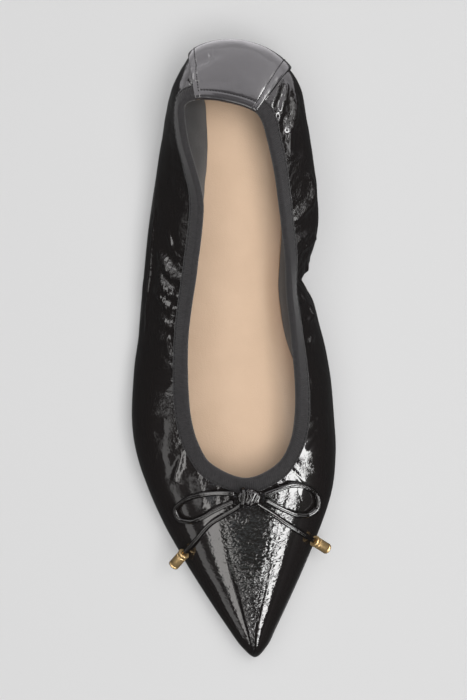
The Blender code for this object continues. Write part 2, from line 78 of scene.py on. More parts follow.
RIDGE_ROWS = [
    # from_heel, height
    (150.0, 39.5),
    (168.0, 37.0),
    (187.0, 33.5),
    (205.0, 29.8),
    (222.0, 26.3),
    (240.0, 22.8),
    (LENGTH, 18.5),
]
EDGE_ROWS = [
    # from_heel, lateral, medial, lateral_height, medial_height
    (4.0, -14.0, 12.8, 25.0, 26.0),
    (10.5, -20.0, 22.8, 23.5, 26.0),
    (20.0, -25.2, 29.0, 20.0, 25.5),
    (32.0, -28.2, 31.6, 17.0, 24.0),
    (45.0, -30.4, 34.0, 15.5, 23.0),
    (60.0, -32.6, 36.0, 15.0, 22.0),
    (80.0, -35.6, 36.6, 13.5, 20.5),
    (98.0, -37.6, 32.6, 11.5, 17.5),
    (118.0, -39.7, 36.8, 9.0, 15.5),
    (140.0, -42.3, 41.4, 9.0, 13.0),
    (160.0, -43.1, 43.3, 10.5, 12.0),
    (175.0, -41.2, 44.0, 10.5, 11.5),
    (190.0, -36.2, 42.6, 10.5, 11.0),
    (205.0, -29.6, 38.0, 10.5, 11.0),
    (220.0, -21.2, 31.7, 11.0, 11.0),
    (235.0, -11.8, 24.9, 11.5, 11.5),
    (250.0, -1.9, 17.9, 12.0, 12.0),
    (257.5, 3.6, 14.3, 12.0, 12.0),
]
EDGE_TOE = (9.4, LENGTH - 0.7, 12.0)
EDGE_BACK = (0.0, 1.2, 26.0)
SOLE_ROWS = [
    # from_heel, lateral, medial
    (8.0, -15.0, 9.0),
    (14.0, -20.5, 15.5),
    (25.0, -26.2, 21.0),
    (42.0, -30.4, 24.4),
    (60.0, -33.2, 25.2),
    (80.0, -36.2, 24.9),
    (100.0, -38.4, 23.7),
    (118.0, -40.2, 25.0),
    (140.0, -41.6, 31.4),
    (160.0, -41.3, 37.2),
    (175.0, -39.4, 40.0),
    (190.0, -35.4, 41.0),
    (205.0, -29.6, 37.9),
    (220.0, -21.6, 32.1),
    (235.0, -12.4, 25.5),
    (250.0, -2.4, 18.5),
    (257.5, 3.2, 14.8),
]
SOLE_TOE = (9.4, LENGTH)
SOLE_BACK = (-3.0, 5.5)
COLLAR_LATERAL_ROWS = [
    # across, from_heel, height
    (-13.5, 25.8, 46.0),
    (-19.4, 28.0, 45.6),
    (-20.6, 33.5, 45.0),
    (-18.8, 46.0, 43.6),
    (-15.4, 58.0, 42.2),
    (-12.9, 69.0, 41.0),
    (-13.6, 82.0, 39.6),
    (-15.4, 96.0, 38.2),
    (-17.8, 112.0, 36.8),
    (-19.5, 128.0, 35.8),
    (-19.4, 145.0, 34.8),
    (-18.0, 160.0, 34.2),
    (-14.6, 171.5, 33.8),
    (-8.4, 180.4, 33.6),
]
COLLAR_MEDIAL_ROWS = [
    # across, from_heel, height
    (8.5, 29.8, 46.0),
    (14.0, 34.0, 45.6),
    (17.8, 46.0, 44.4),
    (20.4, 58.0, 43.2),
    (22.0, 69.0, 42.0),
    (23.5, 82.0, 40.6),
    (24.7, 96.0, 39.4),
    (25.8, 112.0, 38.2),
    (27.5, 128.0, 37.2),
    (28.8, 145.0, 36.2),
    (28.4, 160.0, 35.4),
    (25.7, 171.5, 34.6),
    (20.0, 180.4, 34.0),
]
COLLAR_FRONT = (6.6, 186.3, 33.4)
COLLAR_BACK = (-3.0, 26.6, 46.2)
ROUNDNESS_ROWS = [
    # share of the way from toe to back, roundness
    (0.0, 1.0),
    (0.38, 0.85),
    (0.52, 0.55),
    (0.78, 0.55),
    (0.90, 0.85),
    (1.0, 1.0),
]
RIB_ROWS = [
    # share of the edge, share of the collar
    (0.0, 0.0),
    (0.12, 0.055),
    (0.25, 0.12),
    (0.37, 0.20),
    (0.50, 0.34),
    (0.70, 0.615),
    (0.88, 0.897),
    (0.93, 0.935),
    (1.0, 1.0),
]
VAMP_SHARES = (0.20, 0.40)

# Inner rings of the sole's outline: width kept, and lengths cut at the toe and at the back
LASTING_RING = (0.78, 17.0, 8.0)
INSOLE_RING = (0.885, 8.0, 4.0)
PLUG_RING = (0.755, 19.0, 9.5)
CENTRE_RING = (0.04, 52.0, 34.0)
TYPICAL_HALF_WIDTH = 32.0

# How finely each piece is divided
CURVE_STEPS = 40
CURVE_SAMPLES = 400
FOLD_POINT_EVERY = 0.8
SIDE_COLUMNS = 440
COLUMN_CROWDING = 0.6
LOWER_ROWS = 14
UPPER_ROWS = 62
INNER_ROWS = 9
LINING_ROWS = 30
LOWER_STEPS = 25
UPPER_STEPS = 121
BOTTOM_SIDE_COLUMNS = 150
KNOT_SIDES = 96
KNOT_RINGS = 56

# The bow's cords in plan, each point with its clearance over the upper
KNOT_PLACE = (7.8, 192.4, 3.9)
KNOT_RADII = (5.4, 3.6, 2.3)
KNOT_STRAND_RADIUS = 0.95
LOOP_LATERAL = [
    # across, from_heel, clearance
    (1.8, 190.9, 1.8),
    (-5.5, 190.8, 1.2),
    (-14.0, 192.2, 0.8),
    (-20.0, 194.9, 0.6),
    (-22.8, 198.6, 0.6),
    (-21.6, 201.8, 0.6),
    (-17.2, 203.2, 0.6),
    (-12.6, 201.8, 0.6),
    (-6.6, 198.2, 0.8),
    (1.2, 194.2, 1.6),
]
LOOP_MEDIAL = [
    # across, from_heel, clearance
    (13.8, 191.4, 1.8),
    (19.0, 189.4, 1.6),
    (25.0, 187.7, 0.8),
    (31.0, 188.6, 0.6),
    (35.4, 192.6, 0.6),
    (35.4, 197.2, 0.6),
    (32.2, 200.2, 0.6),
    (27.6, 200.4, 0.6),
    (21.4, 197.8, 0.8),
    (14.4, 193.8, 1.6),
]
TAIL_LATERAL = [
    # across, from_heel, clearance
    (7.2, 193.0, 1.8),
    (3.4, 196.4, 1.2),
    (-2.4, 200.2, 0.6),
    (-8.4, 204.2, 0.5),
    (-13.6, 210.2, 0.6),
    (-18.2, 216.0, 1.7),
]
TAIL_MEDIAL = [
    # across, from_heel, clearance
    (6.8, 192.6, 1.8),
    (12.0, 196.2, 1.2),
    (17.6, 200.0, 0.6),
    (23.2, 204.2, 0.5),
    (28.2, 207.6, 0.6),
    (32.6, 210.9, 1.7),
]

# Single folds and creases of the leather: a ridge that rises from its near side and falls on its
# far side, near being the left of its route seen from above with the toe down. Minus is a trough.
FOLDS = [
    # height, near width, far width, route of (across, from_heel)
    (1.75, 2.0, 0.9, [(-30.4, 92.0), (-27.6, 96.0), (-24.4, 100.2), (-21.6, 101.6)]),
    (1.55, 1.8, 0.8, [(-30.2, 99.0), (-27.8, 105.6), (-23.8, 109.2)]),
    (1.75, 2.0, 0.8, [(-31.2, 106.4), (-28.6, 111.2), (-25.4, 115.0)]),
    (1.60, 1.8, 0.8, [(-30.4, 117.0), (-27.2, 120.2), (-24.8, 121.4)]),
    (0.90, 1.0, 0.8, [(-30.4, 125.6), (-27.0, 127.8), (-24.6, 128.8)]),
    (0.60, 0.7, 0.6, [(-26.6, 80.6), (-25.4, 86.4), (-22.2, 92.8)]),
    (-0.4, 1.4, 1.4, [(-28.2, 110.0), (-24.6, 114.8)]),
    (0.75, 0.6, 0.6, [(-32.6, 72.0), (-33.6, 84.0), (-34.8, 98.0), (-35.9, 110.0), (-36.6, 122.0)]),
    (1.3, 2.6, 2.6, [(-13.4, 181.0), (-11.6, 188.5), (-10.0, 196.0)]),
    (0.7, 0.9, 0.9, [(-20.4, 176.0), (-22.2, 180.8), (-24.0, 186.4)]),
    (0.35, 4.0, 2.4, [(-25.6, 158.8), (-27.0, 168.0), (-29.4, 177.4)]),
    (1.3, 1.0, 1.4, [(20.8, 18.6), (18.8, 26.0), (16.6, 35.6)]),
    (1.2, 1.0, 1.1, [(23.8, 21.0), (21.4, 31.4), (19.0, 38.4)]),
    (1.0, 1.6, 1.6, [(26.6, 22.6), (27.2, 32.0), (25.0, 41.0), (25.6, 49.0)]),
    (1.5, 1.0, 2.0, [(33.2, 57.6), (34.6, 64.6), (33.2, 70.8), (28.2, 76.4)]),
    (1.1, 0.8, 1.2, [(34.8, 81.0), (31.0, 84.0), (27.2, 87.4)]),
    (1.1, 0.7, 0.9, [(35.4, 84.4), (31.4, 88.4)]),
    (-0.9, 1.1, 1.1, [(33.4, 88.8), (29.4, 93.6)]),
    (1.2, 0.75, 2.4, [(34.4, 94.2), (31.8, 98.0), (28.6, 102.6)]),
    (-2.6, 4.2, 5.2, [(36.4, 98.4), (33.4, 101.4), (30.0, 105.0)]),
    (-2.3, 1.3, 1.1, [(36.2, 97.0), (33.0, 100.4), (29.4, 105.0)]),
    (0.7, 0.9, 1.1, [(33.0, 104.4), (31.6, 107.6), (30.4, 111.4)]),
    (1.0, 0.7, 0.8, [(32.4, 112.4), (34.0, 116.4), (31.4, 119.8)]),
    (1.0, 0.8, 0.9, [(34.6, 125.6), (33.4, 128.0)]),
]

# Dents and ridges of the smooth patch over the heel
PATCH_FOLDS = [
    # height, near width, far width, route of (across, from_heel)
    (-1.3, 2.4, 1.5, [(-15.4, 13.0), (-11.4, 11.2), (-6.8, 9.0)]),
    (0.40, 0.9, 0.9, [(-15.0, 15.4), (-11.8, 16.4)]),
    (0.40, 0.8, 0.8, [(-14.8, 18.0), (-12.4, 19.2)]),
    (0.28, 2.2, 2.2, [(6.0, 4.2), (11.4, 8.6)]),
    (-0.25, 1.6, 1.6, [(-10.4, 20.4), (2.0, 19.4)]),
]

# How strongly the elastic tape gathers the leather beside it
GATHER_ROWS = [
    # from_heel, share of the height on the lateral side, share on the medial side
    (26.0, 0.25, 0.35),
    (40.0, 0.25, 0.35),
    (58.0, 0.20, 0.30),
    (75.0, 0.25, 0.45),
    (90.0, 0.50, 0.55),
    (104.0, 0.50, 0.50),
    (118.0, 0.50, 0.30),
    (132.0, 0.50, 0.20),
    (148.0, 0.25, 0.15),
    (165.0, 0.15, 0.20),
    (176.0, 0.20, 0.28),
    (186.0, 0.15, 0.15),
]
GATHER_LENGTH = 4.3
GATHER_REACH = 5.0
GATHER_HEIGHT = 1.5

# Where the lining leans in over the sock: the line on which it meets the sock
LEAN_LATERAL_ROWS = [
    # from_heel, across
    (20.0, -11.6),
    (30.0, -11.2),
    (44.0, -10.4),
    (58.0, -11.2),
    (69.5, -12.5),
    (82.0, -14.6),
    (96.0, -17.4),
    (110.0, -20.4),
]
LEAN_MEDIAL_ROWS = [
    # from_heel, across
    (62.0, 25.2),
    (74.0, 22.4),
    (81.0, 21.3),
    (91.0, 20.5),
    (105.0, 19.5),
    (114.0, 20.4),
    (126.0, 22.7),
    (136.0, 26.1),
    (152.0, 32.0),
]


def column(rows, index):
    """One column of a table as an array."""
    return np.array([row[index] for row in rows], float)


def cubic(start, leave, end, arrive, t):
    """The cubic curve between two values, with its slope at each, at t from 0 to 1."""
    return (
        start * (1 + 2 * t) * (1 - t) ** 2
        + leave * t * (1 - t) ** 2
        + end * t**2 * (3 - 2 * t)
        - arrive * t**2 * (1 - t)
    )


def smooth_between(keys, values, at):
    """Cubic curve through a table's values, with tangents from the neighbours on each side."""
    slopes = np.gradient(values, keys)
    slopes[0], slopes[-1] = 1.5 * slopes[0] - 0.5 * slopes[1], 1.5 * slopes[-1] - 0.5 * slopes[-2]
    place = np.clip(np.searchsorted(keys, at) - 1, 0, len(keys) - 2)
    span = keys[place + 1] - keys[place]
    t = np.clip((at - keys[place]) / span, 0.0, 1.0)
    leave, arrive = slopes[place] * span, slopes[place + 1] * span
    return cubic(values[place], leave, values[place + 1], arrive, t)


def table_value(rows, at, index=1):
    """The smooth value of a table's column where its first column has this value."""
    return smooth_between(column(rows, 0), column(rows, index), np.asarray(at, float))


def ease(low, high, at):
    """0 below low, 1 above high, and a smooth step between."""
    t = np.clip((at - low) / (high - low), 0.0, 1.0)
    return t * t * (3 - 2 * t)


def path_length(points):
    """Distance along a path at each of its points."""
    steps = np.linalg.norm(np.diff(points, axis=0), axis=1)
    return np.concatenate([[0.0], np.cumsum(steps)])


def unit(vectors):
    """Vectors drawn out to a length of 1."""
    return vectors / np.linalg.norm(vectors, axis=-1, keepdims=True)


def along(path, distances, values=None):
    """Points of a path, or values that belong to them, at these distances from its start."""
    values = path if values is None else values
    travelled = path_length(path)
    return np.stack([np.interp(distances, travelled, part) for part in values.T], 1)


def curve_through(points, every):
    """A smooth open curve through points, with its own points that far apart."""
    reach = path_length(points)
    fine = np.linspace(0, reach[-1], CURVE_SAMPLES)
    curve = np.stack([smooth_between(reach, values, fine) for values in points.T], 1)
    length = path_length(curve)[-1]
    return along(curve, np.linspace(0, length, max(2, round(length / every)) + 1))


def closed_curve(points):
    """A smooth closed curve through points."""
    count = len(points)
    chords = np.sqrt(np.linalg.norm(np.roll(points, -1, 0) - points, axis=1))[:, None]
    before = np.roll(chords, 1, 0)
    tangents = (np.roll(points, -1, 0) - np.roll(points, 1, 0)) / (chords + before)
    t = (np.arange(CURVE_STEPS) / CURVE_STEPS)[:, None]
    made = []
    for i in range(count):
        after = (i + 1) % count
        leave, arrive = tangents[i] * chords[i], tangents[after] * chords[i]
        made.append(cubic(points[i], leave, points[after], arrive, t))
    return np.vstack(made)


class Loop:
    """A closed line round the shoe. A share is how far along a side a place is, from toe to back."""

    def __init__(self, toe, lateral, back, medial):
        curve = closed_curve(np.array([toe, *reversed(lateral), back, *medial], float))
        turn = (len(lateral) + 1) * CURVE_STEPS
        self.sides = {
            "lateral": curve[: turn + 1],
            "medial": np.concatenate([curve[turn:], curve[:1]])[::-1],
        }

    def at(self, side, share):
        """The point at a share of the way from toe to back."""
        points = self.sides[side]
        return along(points, np.array([share * path_length(points)[-1]]))[0]

    def across(self, side, from_heel):
        """How far across the side lies at a distance from the heel."""
        points = self.sides[side]
        order = np.argsort(points[:, 1])
        return np.interp(from_heel, points[order, 1], points[order, 0])

    def middle(self, from_heel):
        """The middle between both sides at a distance from the heel."""
        return (self.across("lateral", from_heel) + self.across("medial", from_heel)) / 2


def side_points(rows, index):
    """The points of one side from a table of both sides: across, from_heel and any height."""
    return [(row[index], row[0]) + tuple(row[index + 2 : index + 3]) for row in rows]


edge_loop = Loop(EDGE_TOE, side_points(EDGE_ROWS, 1), EDGE_BACK, side_points(EDGE_ROWS, 2))
sole_loop = Loop(SOLE_TOE, side_points(SOLE_ROWS, 1), SOLE_BACK, side_points(SOLE_ROWS, 2))
collar_loop = Loop(COLLAR_FRONT, COLLAR_LATERAL_ROWS, COLLAR_BACK, COLLAR_MEDIAL_ROWS)
CENTRE = (
    (edge_loop.sides["lateral"][:, 0].min() + edge_loop.sides["medial"][:, 0].max()) / 2,
    (SOLE_TOE[1] + EDGE_BACK[1] - OVERLAY_GAP - PATCH_THICKNESS) / 2,
)


def to_world(points):
    """Points of the shoe in the scene's metres, with the toe along -Y and the middle at the origin."""
    points = np.asarray(points, float)
    place = np.stack([points[..., 0] - CENTRE[0], CENTRE[1] - points[..., 1], points[..., 2]], -1)
    return place * MM


def sole_underside(from_heel):
    """Height of the outsole's underside: a flat heel seat, a shank, a flat tread and toe spring."""
    shank = HEEL_HEIGHT * (1 - ease(HEEL_BREAST + 2, SHANK_END, from_heel))
    toe = TOE_SPRING * np.clip((from_heel - TREAD_END) / (LENGTH - TREAD_END), 0, 1) ** 1.8
    return shank + toe


def sole_top(from_heel):
    """Height of the face that the upper is lasted to."""
    return sole_underside(from_heel) + SOLE_THICKNESS


def drawn_in(inset):
    """The ring that lies about that far inside the sole's outline."""
    return (1 - inset / TYPICAL_HALF_WIDTH, inset, inset)


def ring_point(side, share, ring):
    """A point of the sole's outline drawn in: its width scaled about the middle, its ends cut short."""
    width_kept, toe_cut, back_cut = ring
    across, from_heel = sole_loop.at(side, share)
    back, toe = SOLE_BACK[1], SOLE_TOE[1]
    moved = back + back_cut + (from_heel - back) * (1 - (toe_cut + back_cut) / (toe - back))
    offset = (across - sole_loop.middle(from_heel)) * width_kept
    return np.array([sole_loop.middle(moved) + offset, moved])


def ridge_height(from_heel):
    """Height of the ridge down the middle of the toe, rounded over at its tip."""
    ramp = table_value(RIDGE_ROWS, from_heel)
    past_nose = np.clip((EDGE_TOE[1] - from_heel) / NOSE_RADIUS, 0, 1)
    return ramp - NOSE_DROP * (1 - np.sqrt(1 - (1 - past_nose) ** 2))


def vamp_height(across, from_heel, base):
    """Height of the vamp: an elliptical arch from a base height at the edge up to the ridge."""
    lateral = edge_loop.across("lateral", from_heel)
    medial = edge_loop.across("medial", from_heel)
    half = np.maximum((medial - lateral) / 2, 0.5)
    offset = np.clip((across - (lateral + medial) / 2) / half, -1, 1)
    return base + (ridge_height(from_heel) - base) * np.sqrt(1 - offset**2)


def lower_wall(side, share):
    """The wall from the sole out to its widest line, as a fine path."""
    foot_across, foot_from_heel = ring_point(side, share, drawn_in(SOLE_RIM))
    own_from_heel = sole_loop.at(side, share)[1]
    foot = np.array([foot_across, foot_from_heel, sole_top(own_from_heel) + GAP])
    climb = np.linspace(0, 1, LOWER_STEPS)[:, None]
    bulge = 1 - (1 - climb) ** 2
    return foot + (edge_loop.at(side, share) - foot) * np.hstack([bulge, bulge, climb])


def upper_wall(side, share):
    """The wall from its widest line up to the collar: a vamp at the front, a leaning wall behind it."""
    edge = edge_loop.at(side, share)
    collar = collar_loop.at(side, table_value(RIB_ROWS, share))
    angle = np.linspace(0, np.radians(WALL_LEAN), UPPER_STEPS)
    run = ((1 - np.cos(angle)) / (1 - np.cos(angle[-1])))[:, None]
    rise = (np.sin(angle) / np.sin(angle[-1]))[:, None]
    roundness = table_value(ROUNDNESS_ROWS, share)
    plan = edge[:2] + (collar[:2] - edge[:2]) * run
    wall = edge[2] + (collar[2] - edge[2]) * (roundness * rise + (1 - roundness) * run)
    arch = vamp_height(plan[:, 0], plan[:, 1], edge[2])[:, None]
    vamp = 1 - ease(*VAMP_SHARES, share)
    return np.hstack([plan, vamp * arch + (1 - vamp) * wall])


def rib(side, share):
    """One column of the wall's outer face, and how far each of its rows lies below the collar."""
    lower, upper = lower_wall(side, share), upper_wall(side, share)
    whole = path_length(upper)[-1]
    lower_reach = np.linspace(0, path_length(lower)[-1], LOWER_ROWS + 1)[:-1]
    upper_reach = np.linspace(0, whole, UPPER_ROWS)
    points = np.vstack([along(lower, lower_reach), along(upper, upper_reach)])
    depth = np.concatenate([whole + path_length(lower)[-1] - lower_reach, whole - upper_reach])
    return points, depth


def columns_round(count):
    """The place of every column once round the shoe: toe, lateral side, back, medial side."""
    even = np.linspace(0, 1, count + 1)
    shares = even - COLUMN_CROWDING * np.sin(2 * np.pi * even) / (2 * np.pi)
    lateral = [("lateral", share) for share in shares]
    medial = [("medial", share) for share in shares[1:-1]]
    return lateral + medial[::-1]


def smoothed(grid, times):
    """A closed grid with its kinks relaxed, its first and last rows relaxed only round the shoe."""
    for _ in range(times):
        beside = (np.roll(grid, 1, 0) + np.roll(grid, -1, 0)) / 2
        inner = (beside[:, 1:-1] + (grid[:, :-2] + grid[:, 2:]) / 2) / 2
        grid = grid * 0.5 + 0.5 * np.concatenate([beside[:, :1], inner, beside[:, -1:]], 1)
    return grid


def grid_normals(grid):
    """Unit normals of a closed grid of columns and rows, pointing out of the shoe."""
    round_step = np.roll(grid, -1, 0) - np.roll(grid, 1, 0)
    up_step = np.gradient(grid, axis=1)
    return unit(np.cross(round_step, up_step))


NOISE_STEPS = np.array([73856093, 19349663, 83492791])
NOISE_SEED_STEP = 7919
NOISE_FACTOR = 1103515245
NOISE_ADDED = 12345
NOISE_KEPT = 0x7FFFFFFF


def soft_noise(points, size, seed):
    """Smooth noise between -1 and 1, with its bumps about that size apart."""
    place = np.asarray(points, float) / size
    cell = np.floor(place).astype(np.int64)
    t = place - cell
    t = t * t * t * (t * (t * 6 - 15) + 10)
    total = np.zeros(place.shape[:-1])
    for corner in np.ndindex(2, 2, 2):
        mixed = (cell + corner) @ NOISE_STEPS + seed * NOISE_SEED_STEP
        for shift in (13, 11):
            mixed = ((mixed ^ (mixed >> shift)) * NOISE_FACTOR + NOISE_ADDED) & NOISE_KEPT
        value = (mixed >> 8 & 0xFFFF) / 32767.5 - 1
        weight = np.prod(np.where(np.array(corner) == 1, t, 1 - t), axis=-1)
        total += value * weight
    return total


class Wall:
    """The fine wall of the shoe: its even base, its normals, and its folds and gathers."""

    def __init__(self):
        self.places = columns_round(SIDE_COLUMNS)
        ribs = [rib(*place) for place in self.places]
        self.base = smoothed(np.array([points for points, _ in ribs]), 6)
        self.depth = np.array([depth for _, depth in ribs])
        self.normals = grid_normals(self.base)
        self.lateral = np.array([side == "lateral" for side, _ in self.places])
        self.share = np.array([share for _, share in self.places])
        self.collar = self.base[:, -1]
        self.collar_reach = path_length(self.collar)
        dents = sum(self.fold_lift(*row) for row in PATCH_FOLDS)
        self.dents = dents + 0.10 * soft_noise(self.base, 8.0, 51)
        self.lift = self.relief()
        self.outer = self.base + self.normals * self.lift[..., None]

    def on_base(self, across, from_heel):
        """The base point and normal under a place seen from above."""
        upper = self.base[:, LOWER_ROWS:]
        apart = (upper[..., 0] - across) ** 2 + (upper[..., 1] - from_heel) ** 2
        i, j = np.unravel_index(np.argmin(apart), apart.shape)
        return upper[i, j], self.normals[i, LOWER_ROWS + j]

    def fold_lift(self, height, near, far, route):
        """How far one fold lifts each point of the wall."""
        plan = curve_through(np.array(route, float), FOLD_POINT_EVERY)
        lifted = [self.on_base(*place) for place in plan]
        line = np.array([point for point, _ in lifted])
        normals = np.array([normal for _, normal in lifted])
        margin = 4 * max(near, far)
        low, high = line.min(0) - margin, line.max(0) + margin
        inside = np.all((self.base > low) & (self.base < high), axis=2)
        points = self.base[inside]
        apart = np.linalg.norm(points[:, None] - line[None], axis=2)
        nearest = apart.argmin(1)
        tangents = np.gradient(line, axis=0)
        sides, ahead = unit(np.cross(tangents, normals)), unit(tangents)
        away = points - line[nearest]
        beyond = (away * ahead[nearest]).sum(1)
        at_start = (nearest == 0) & (beyond < 0)
        at_end = (nearest == len(line) - 1) & (beyond > 0)
        beyond = np.where(at_start | at_end, beyond, 0.0)
        sideways = (away * sides[nearest]).sum(1)
        width = np.where(sideways > 0, near, far)
        profile = np.exp(-0.5 * (sideways / width) ** 2 - 0.5 * (beyond / near) ** 2)
        t = nearest / (len(line) - 1)
        taper = 0.35 + 0.65 * np.sin(np.pi * np.clip(t, 0.02, 0.98)) ** 0.6
        lift = np.zeros(self.base.shape[:2])
        lift[inside] = height * profile * taper
        return lift

    def gathers(self):
        """The short puckers beside the elastic tape."""
        sides = [table_value(GATHER_ROWS, self.collar[:, 1], index) for index in (1, 2)]
        strength = GATHER_HEIGHT * np.where(self.lateral, *sides)
        reach = np.broadcast_to(self.collar_reach[:, None], self.depth.shape)
        place = np.stack([reach, self.depth * 0.45, np.zeros_like(reach)], -1)
        wander = 2.4 * soft_noise(place, 7.0, 3) + 0.9 * soft_noise(place, 2.6, 4)
        wave = np.cos(np.pi * reach / GATHER_LENGTH + wander)
        pucker = np.sqrt(wave**2 + 0.04) - 0.6
        length = GATHER_REACH * (1 + 0.6 * soft_noise(place, 9.0, 5))
        fade = np.exp(-np.maximum(self.depth - BINDING_DEPTH, 0) / length)
        under_tape = ease(0.5, BINDING_DEPTH + 0.6, self.depth)
        return strength[:, None] * pucker * fade * (0.25 + 0.75 * under_tape)

    def undulation(self):
        """Soft unevenness of the leather, strongest at the sides and the heel."""
        rear = 1 - ease(120.0, 146.0, self.base[..., 1])
        broad = 0.45 * soft_noise(self.base, 13.0, 11)
        small = 0.11 * soft_noise(self.base, 5.5, 12)
        near_collar = np.exp(-np.maximum(self.depth - BINDING_DEPTH, 0) / 12.0)
        crumple = 0.09 * near_collar * soft_noise(self.base, 2.8, 14)
        faint = 0.10 * soft_noise(self.base, 9.0, 13)
        return rear * (broad + small + crumple) + faint

    def relief(self):
        """How far the leather stands out from the even wall at each point."""
        total = self.undulation() + self.gathers()
        for row in FOLDS:
            total += self.fold_lift(*row)
        total *= ease(0.0, 3.5, self.depth.max(1)[:, None] - self.depth)
        # Under the patch the leather is pressed flat, and goes in with the patch's dents
        covered = np.minimum(total * 0.3, 0.25) + np.minimum(self.dents, 0.0)
        return np.where(self.under_patch()[:, None], covered, total)

    def crinkle(self):
        """How strong the coarse crinkles are, mostly on the toe's middle, and the fine ones."""
        tilt = np.degrees(np.arctan2(self.normals[..., 0], self.normals[..., 2]))
        tip = ease(214.0, 230.0, self.base[..., 1])
        toe = 0.06 + 0.94 * ease(-10.0, -5.0, tilt) * (1 - 0.65 * ease(13.0, 18.0, tilt))
        toe += 0.12 * ease(-26.0, -16.0, tilt)
        toe *= 1 - 0.85 * ease(24.0, 31.0, tilt)
        calm = ease(-2.0, 3.0, tilt) * (1 - ease(7.0, 12.0, tilt))
        toe *= (1 - 0.30 * calm * (1 - tip)) * (1 + 0.8 * tip * (1 - ease(9.0, 14.0, tilt)))
        patches = ease(-0.25, 0.35, soft_noise(self.base, 9.0, 41))
        near_collar = np.exp(-np.maximum(self.depth - BINDING_DEPTH, 0) / 16.0)
        side = 0.06 + 0.55 * patches * near_collar + 0.12 * patches
        side *= 1 - 0.35 * ease(124.0, 140.0, self.base[..., 1])
        front = ease(186.0, 202.0, self.base[..., 1])
        coarse = 0.35 * side * (1 - front) + toe * front
        fine = 0.75 * side * (1 - front) + 0.15 * toe * front
        return np.stack([coarse, fine], -1)

    def under_patch(self):
        """Which columns lie under the heel patch."""
        edge = np.where(self.lateral, PATCH_LATERAL_SHARE, PATCH_MEDIAL_SHARE)
        return self.share > edge


def sampled(grid, columns):
    """A closed grid's values at fractional column numbers."""
    low = np.floor(columns).astype(int)
    t = (columns - low).reshape((-1,) + (1,) * (grid.ndim - 1))
    count = len(grid)
    return grid[low % count] * (1 - t) + grid[(low + 1) % count] * t


def at_depths(grid, depth, depths):
    """The values of each column of a grid at these depths below the collar."""
    made = np.empty((len(grid), len(depths), grid.shape[2]))
    for i in range(len(grid)):
        for k in range(grid.shape[2]):
            made[i, :, k] = np.interp(depths, depth[i, ::-1], grid[i, ::-1, k])
    return made


def quads_between(count, size, closed_columns, closed_rows):
    """Faces between neighbouring columns of a grid of points."""
    i = np.arange(count if closed_columns else count - 1)[:, None]
    j = np.arange(size if closed_rows else size - 1)[None, :]
    after, above = (i + 1) % count, (j + 1) % size
    corners = [i * size + j, after * size + j, after * size + above, i * size + above]
    return np.stack([np.broadcast_to(c, (i.size, j.size)) for c in corners], -1).reshape(-1, 4)


def signed_volume(points, faces):
    """Volume inside three-cornered faces, minus where they face in."""
    a, b, c = (points[faces[:, k]] for k in range(3))
    return (a * np.cross(b, c)).sum() / 6


def piece(name, points, quads, triangles, material, slot, uv=None, sharp=None, replaced=()):
    """A piece on its body, from points in millimetres with faces of four and of three corners."""
    place = to_world(points)
    halves = [quads[:, [0, 1, 2]], quads[:, [0, 2, 3]], triangles]
    if signed_volume(place, np.concatenate(halves)) < 0:
        quads, triangles = quads[:, ::-1], triangles[:, ::-1]
    data = bpy.data.meshes.new(name)
    data.from_pydata(place.tolist(), [], quads.tolist() + triangles.tolist())
    if uv is not None:
        corners = np.concatenate([quads.ravel(), triangles.ravel()])
        layer = data.uv_layers.new(name="along")
        layer.data.foreach_set("uv", np.asarray(uv, np.float32)[corners].ravel())
    data.shade_smooth()
    if sharp is not None:
        data.set_sharp_from_angle(angle=np.radians(sharp))
    data.materials.append(material)
    made = bpy.data.objects.new(name, data)
    bpy.context.scene.collection.objects.link(made)
    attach(made, "root")
    if replaced:
        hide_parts(*replaced)
    return made


def grid_uv(grid, first, second):
    """Two values for each point of a grid."""
    return np.stack([np.broadcast_to(values, grid.shape[:2]) for values in (first, second)], -1)


NO_TRIANGLES = np.empty((0, 3), int)


def shell(name, far, near, closed, material, slot, uv=None, replaced=()):
    """A thin solid between two grids of the same size, as a ring where closed, otherwise with ends."""
    count, rows = far.shape[:2]
    section = np.concatenate([far, near[:, ::-1]], 1)
    size = 2 * rows
    quads = quads_between(count, size, closed, True)
    if not closed:
        j = np.arange(rows - 1)
        cap = np.stack([j, j + 1, size - 2 - j, size - 1 - j], -1)
        quads = np.concatenate([quads, cap, cap[:, ::-1] + (count - 1) * size])
    if uv is not None:
        uv = np.concatenate([uv, uv[:, ::-1]], 1).reshape(-1, 2)
    return piece(
        name, section.reshape(-1, 3), quads, NO_TRIANGLES, material, slot, uv, replaced=replaced
    )


def ladder(size):
    """Quads and triangles that close a ring, from its lateral side across to its medial side."""
    half = size // 2
    i = np.arange(1, half - 1)
    quads = np.stack([i, i + 1, size - i - 1, size - i], -1)
    return quads, np.array([(0, 1, size - 1), (half - 1, half, half + 1)])


def stack(name, rings, material, slot, uv=None, sharp=None, replaced=()):
    """A solid from rings laid over each other, closed across at the bottom and at the top."""
    rings = np.array(rings)
    count, size = rings.shape[:2]
    quads, ends = ladder(size)
    top = (count - 1) * size
    quads = np.concatenate(
        [quads_between(count, size, False, True), quads, quads[:, ::-1] + top]
    )
    ends = np.concatenate([ends, ends[:, ::-1] + top])
    points = rings.reshape(-1, 3)
    return piece(name, points, quads, ends, material, slot, uv, sharp, replaced=replaced)


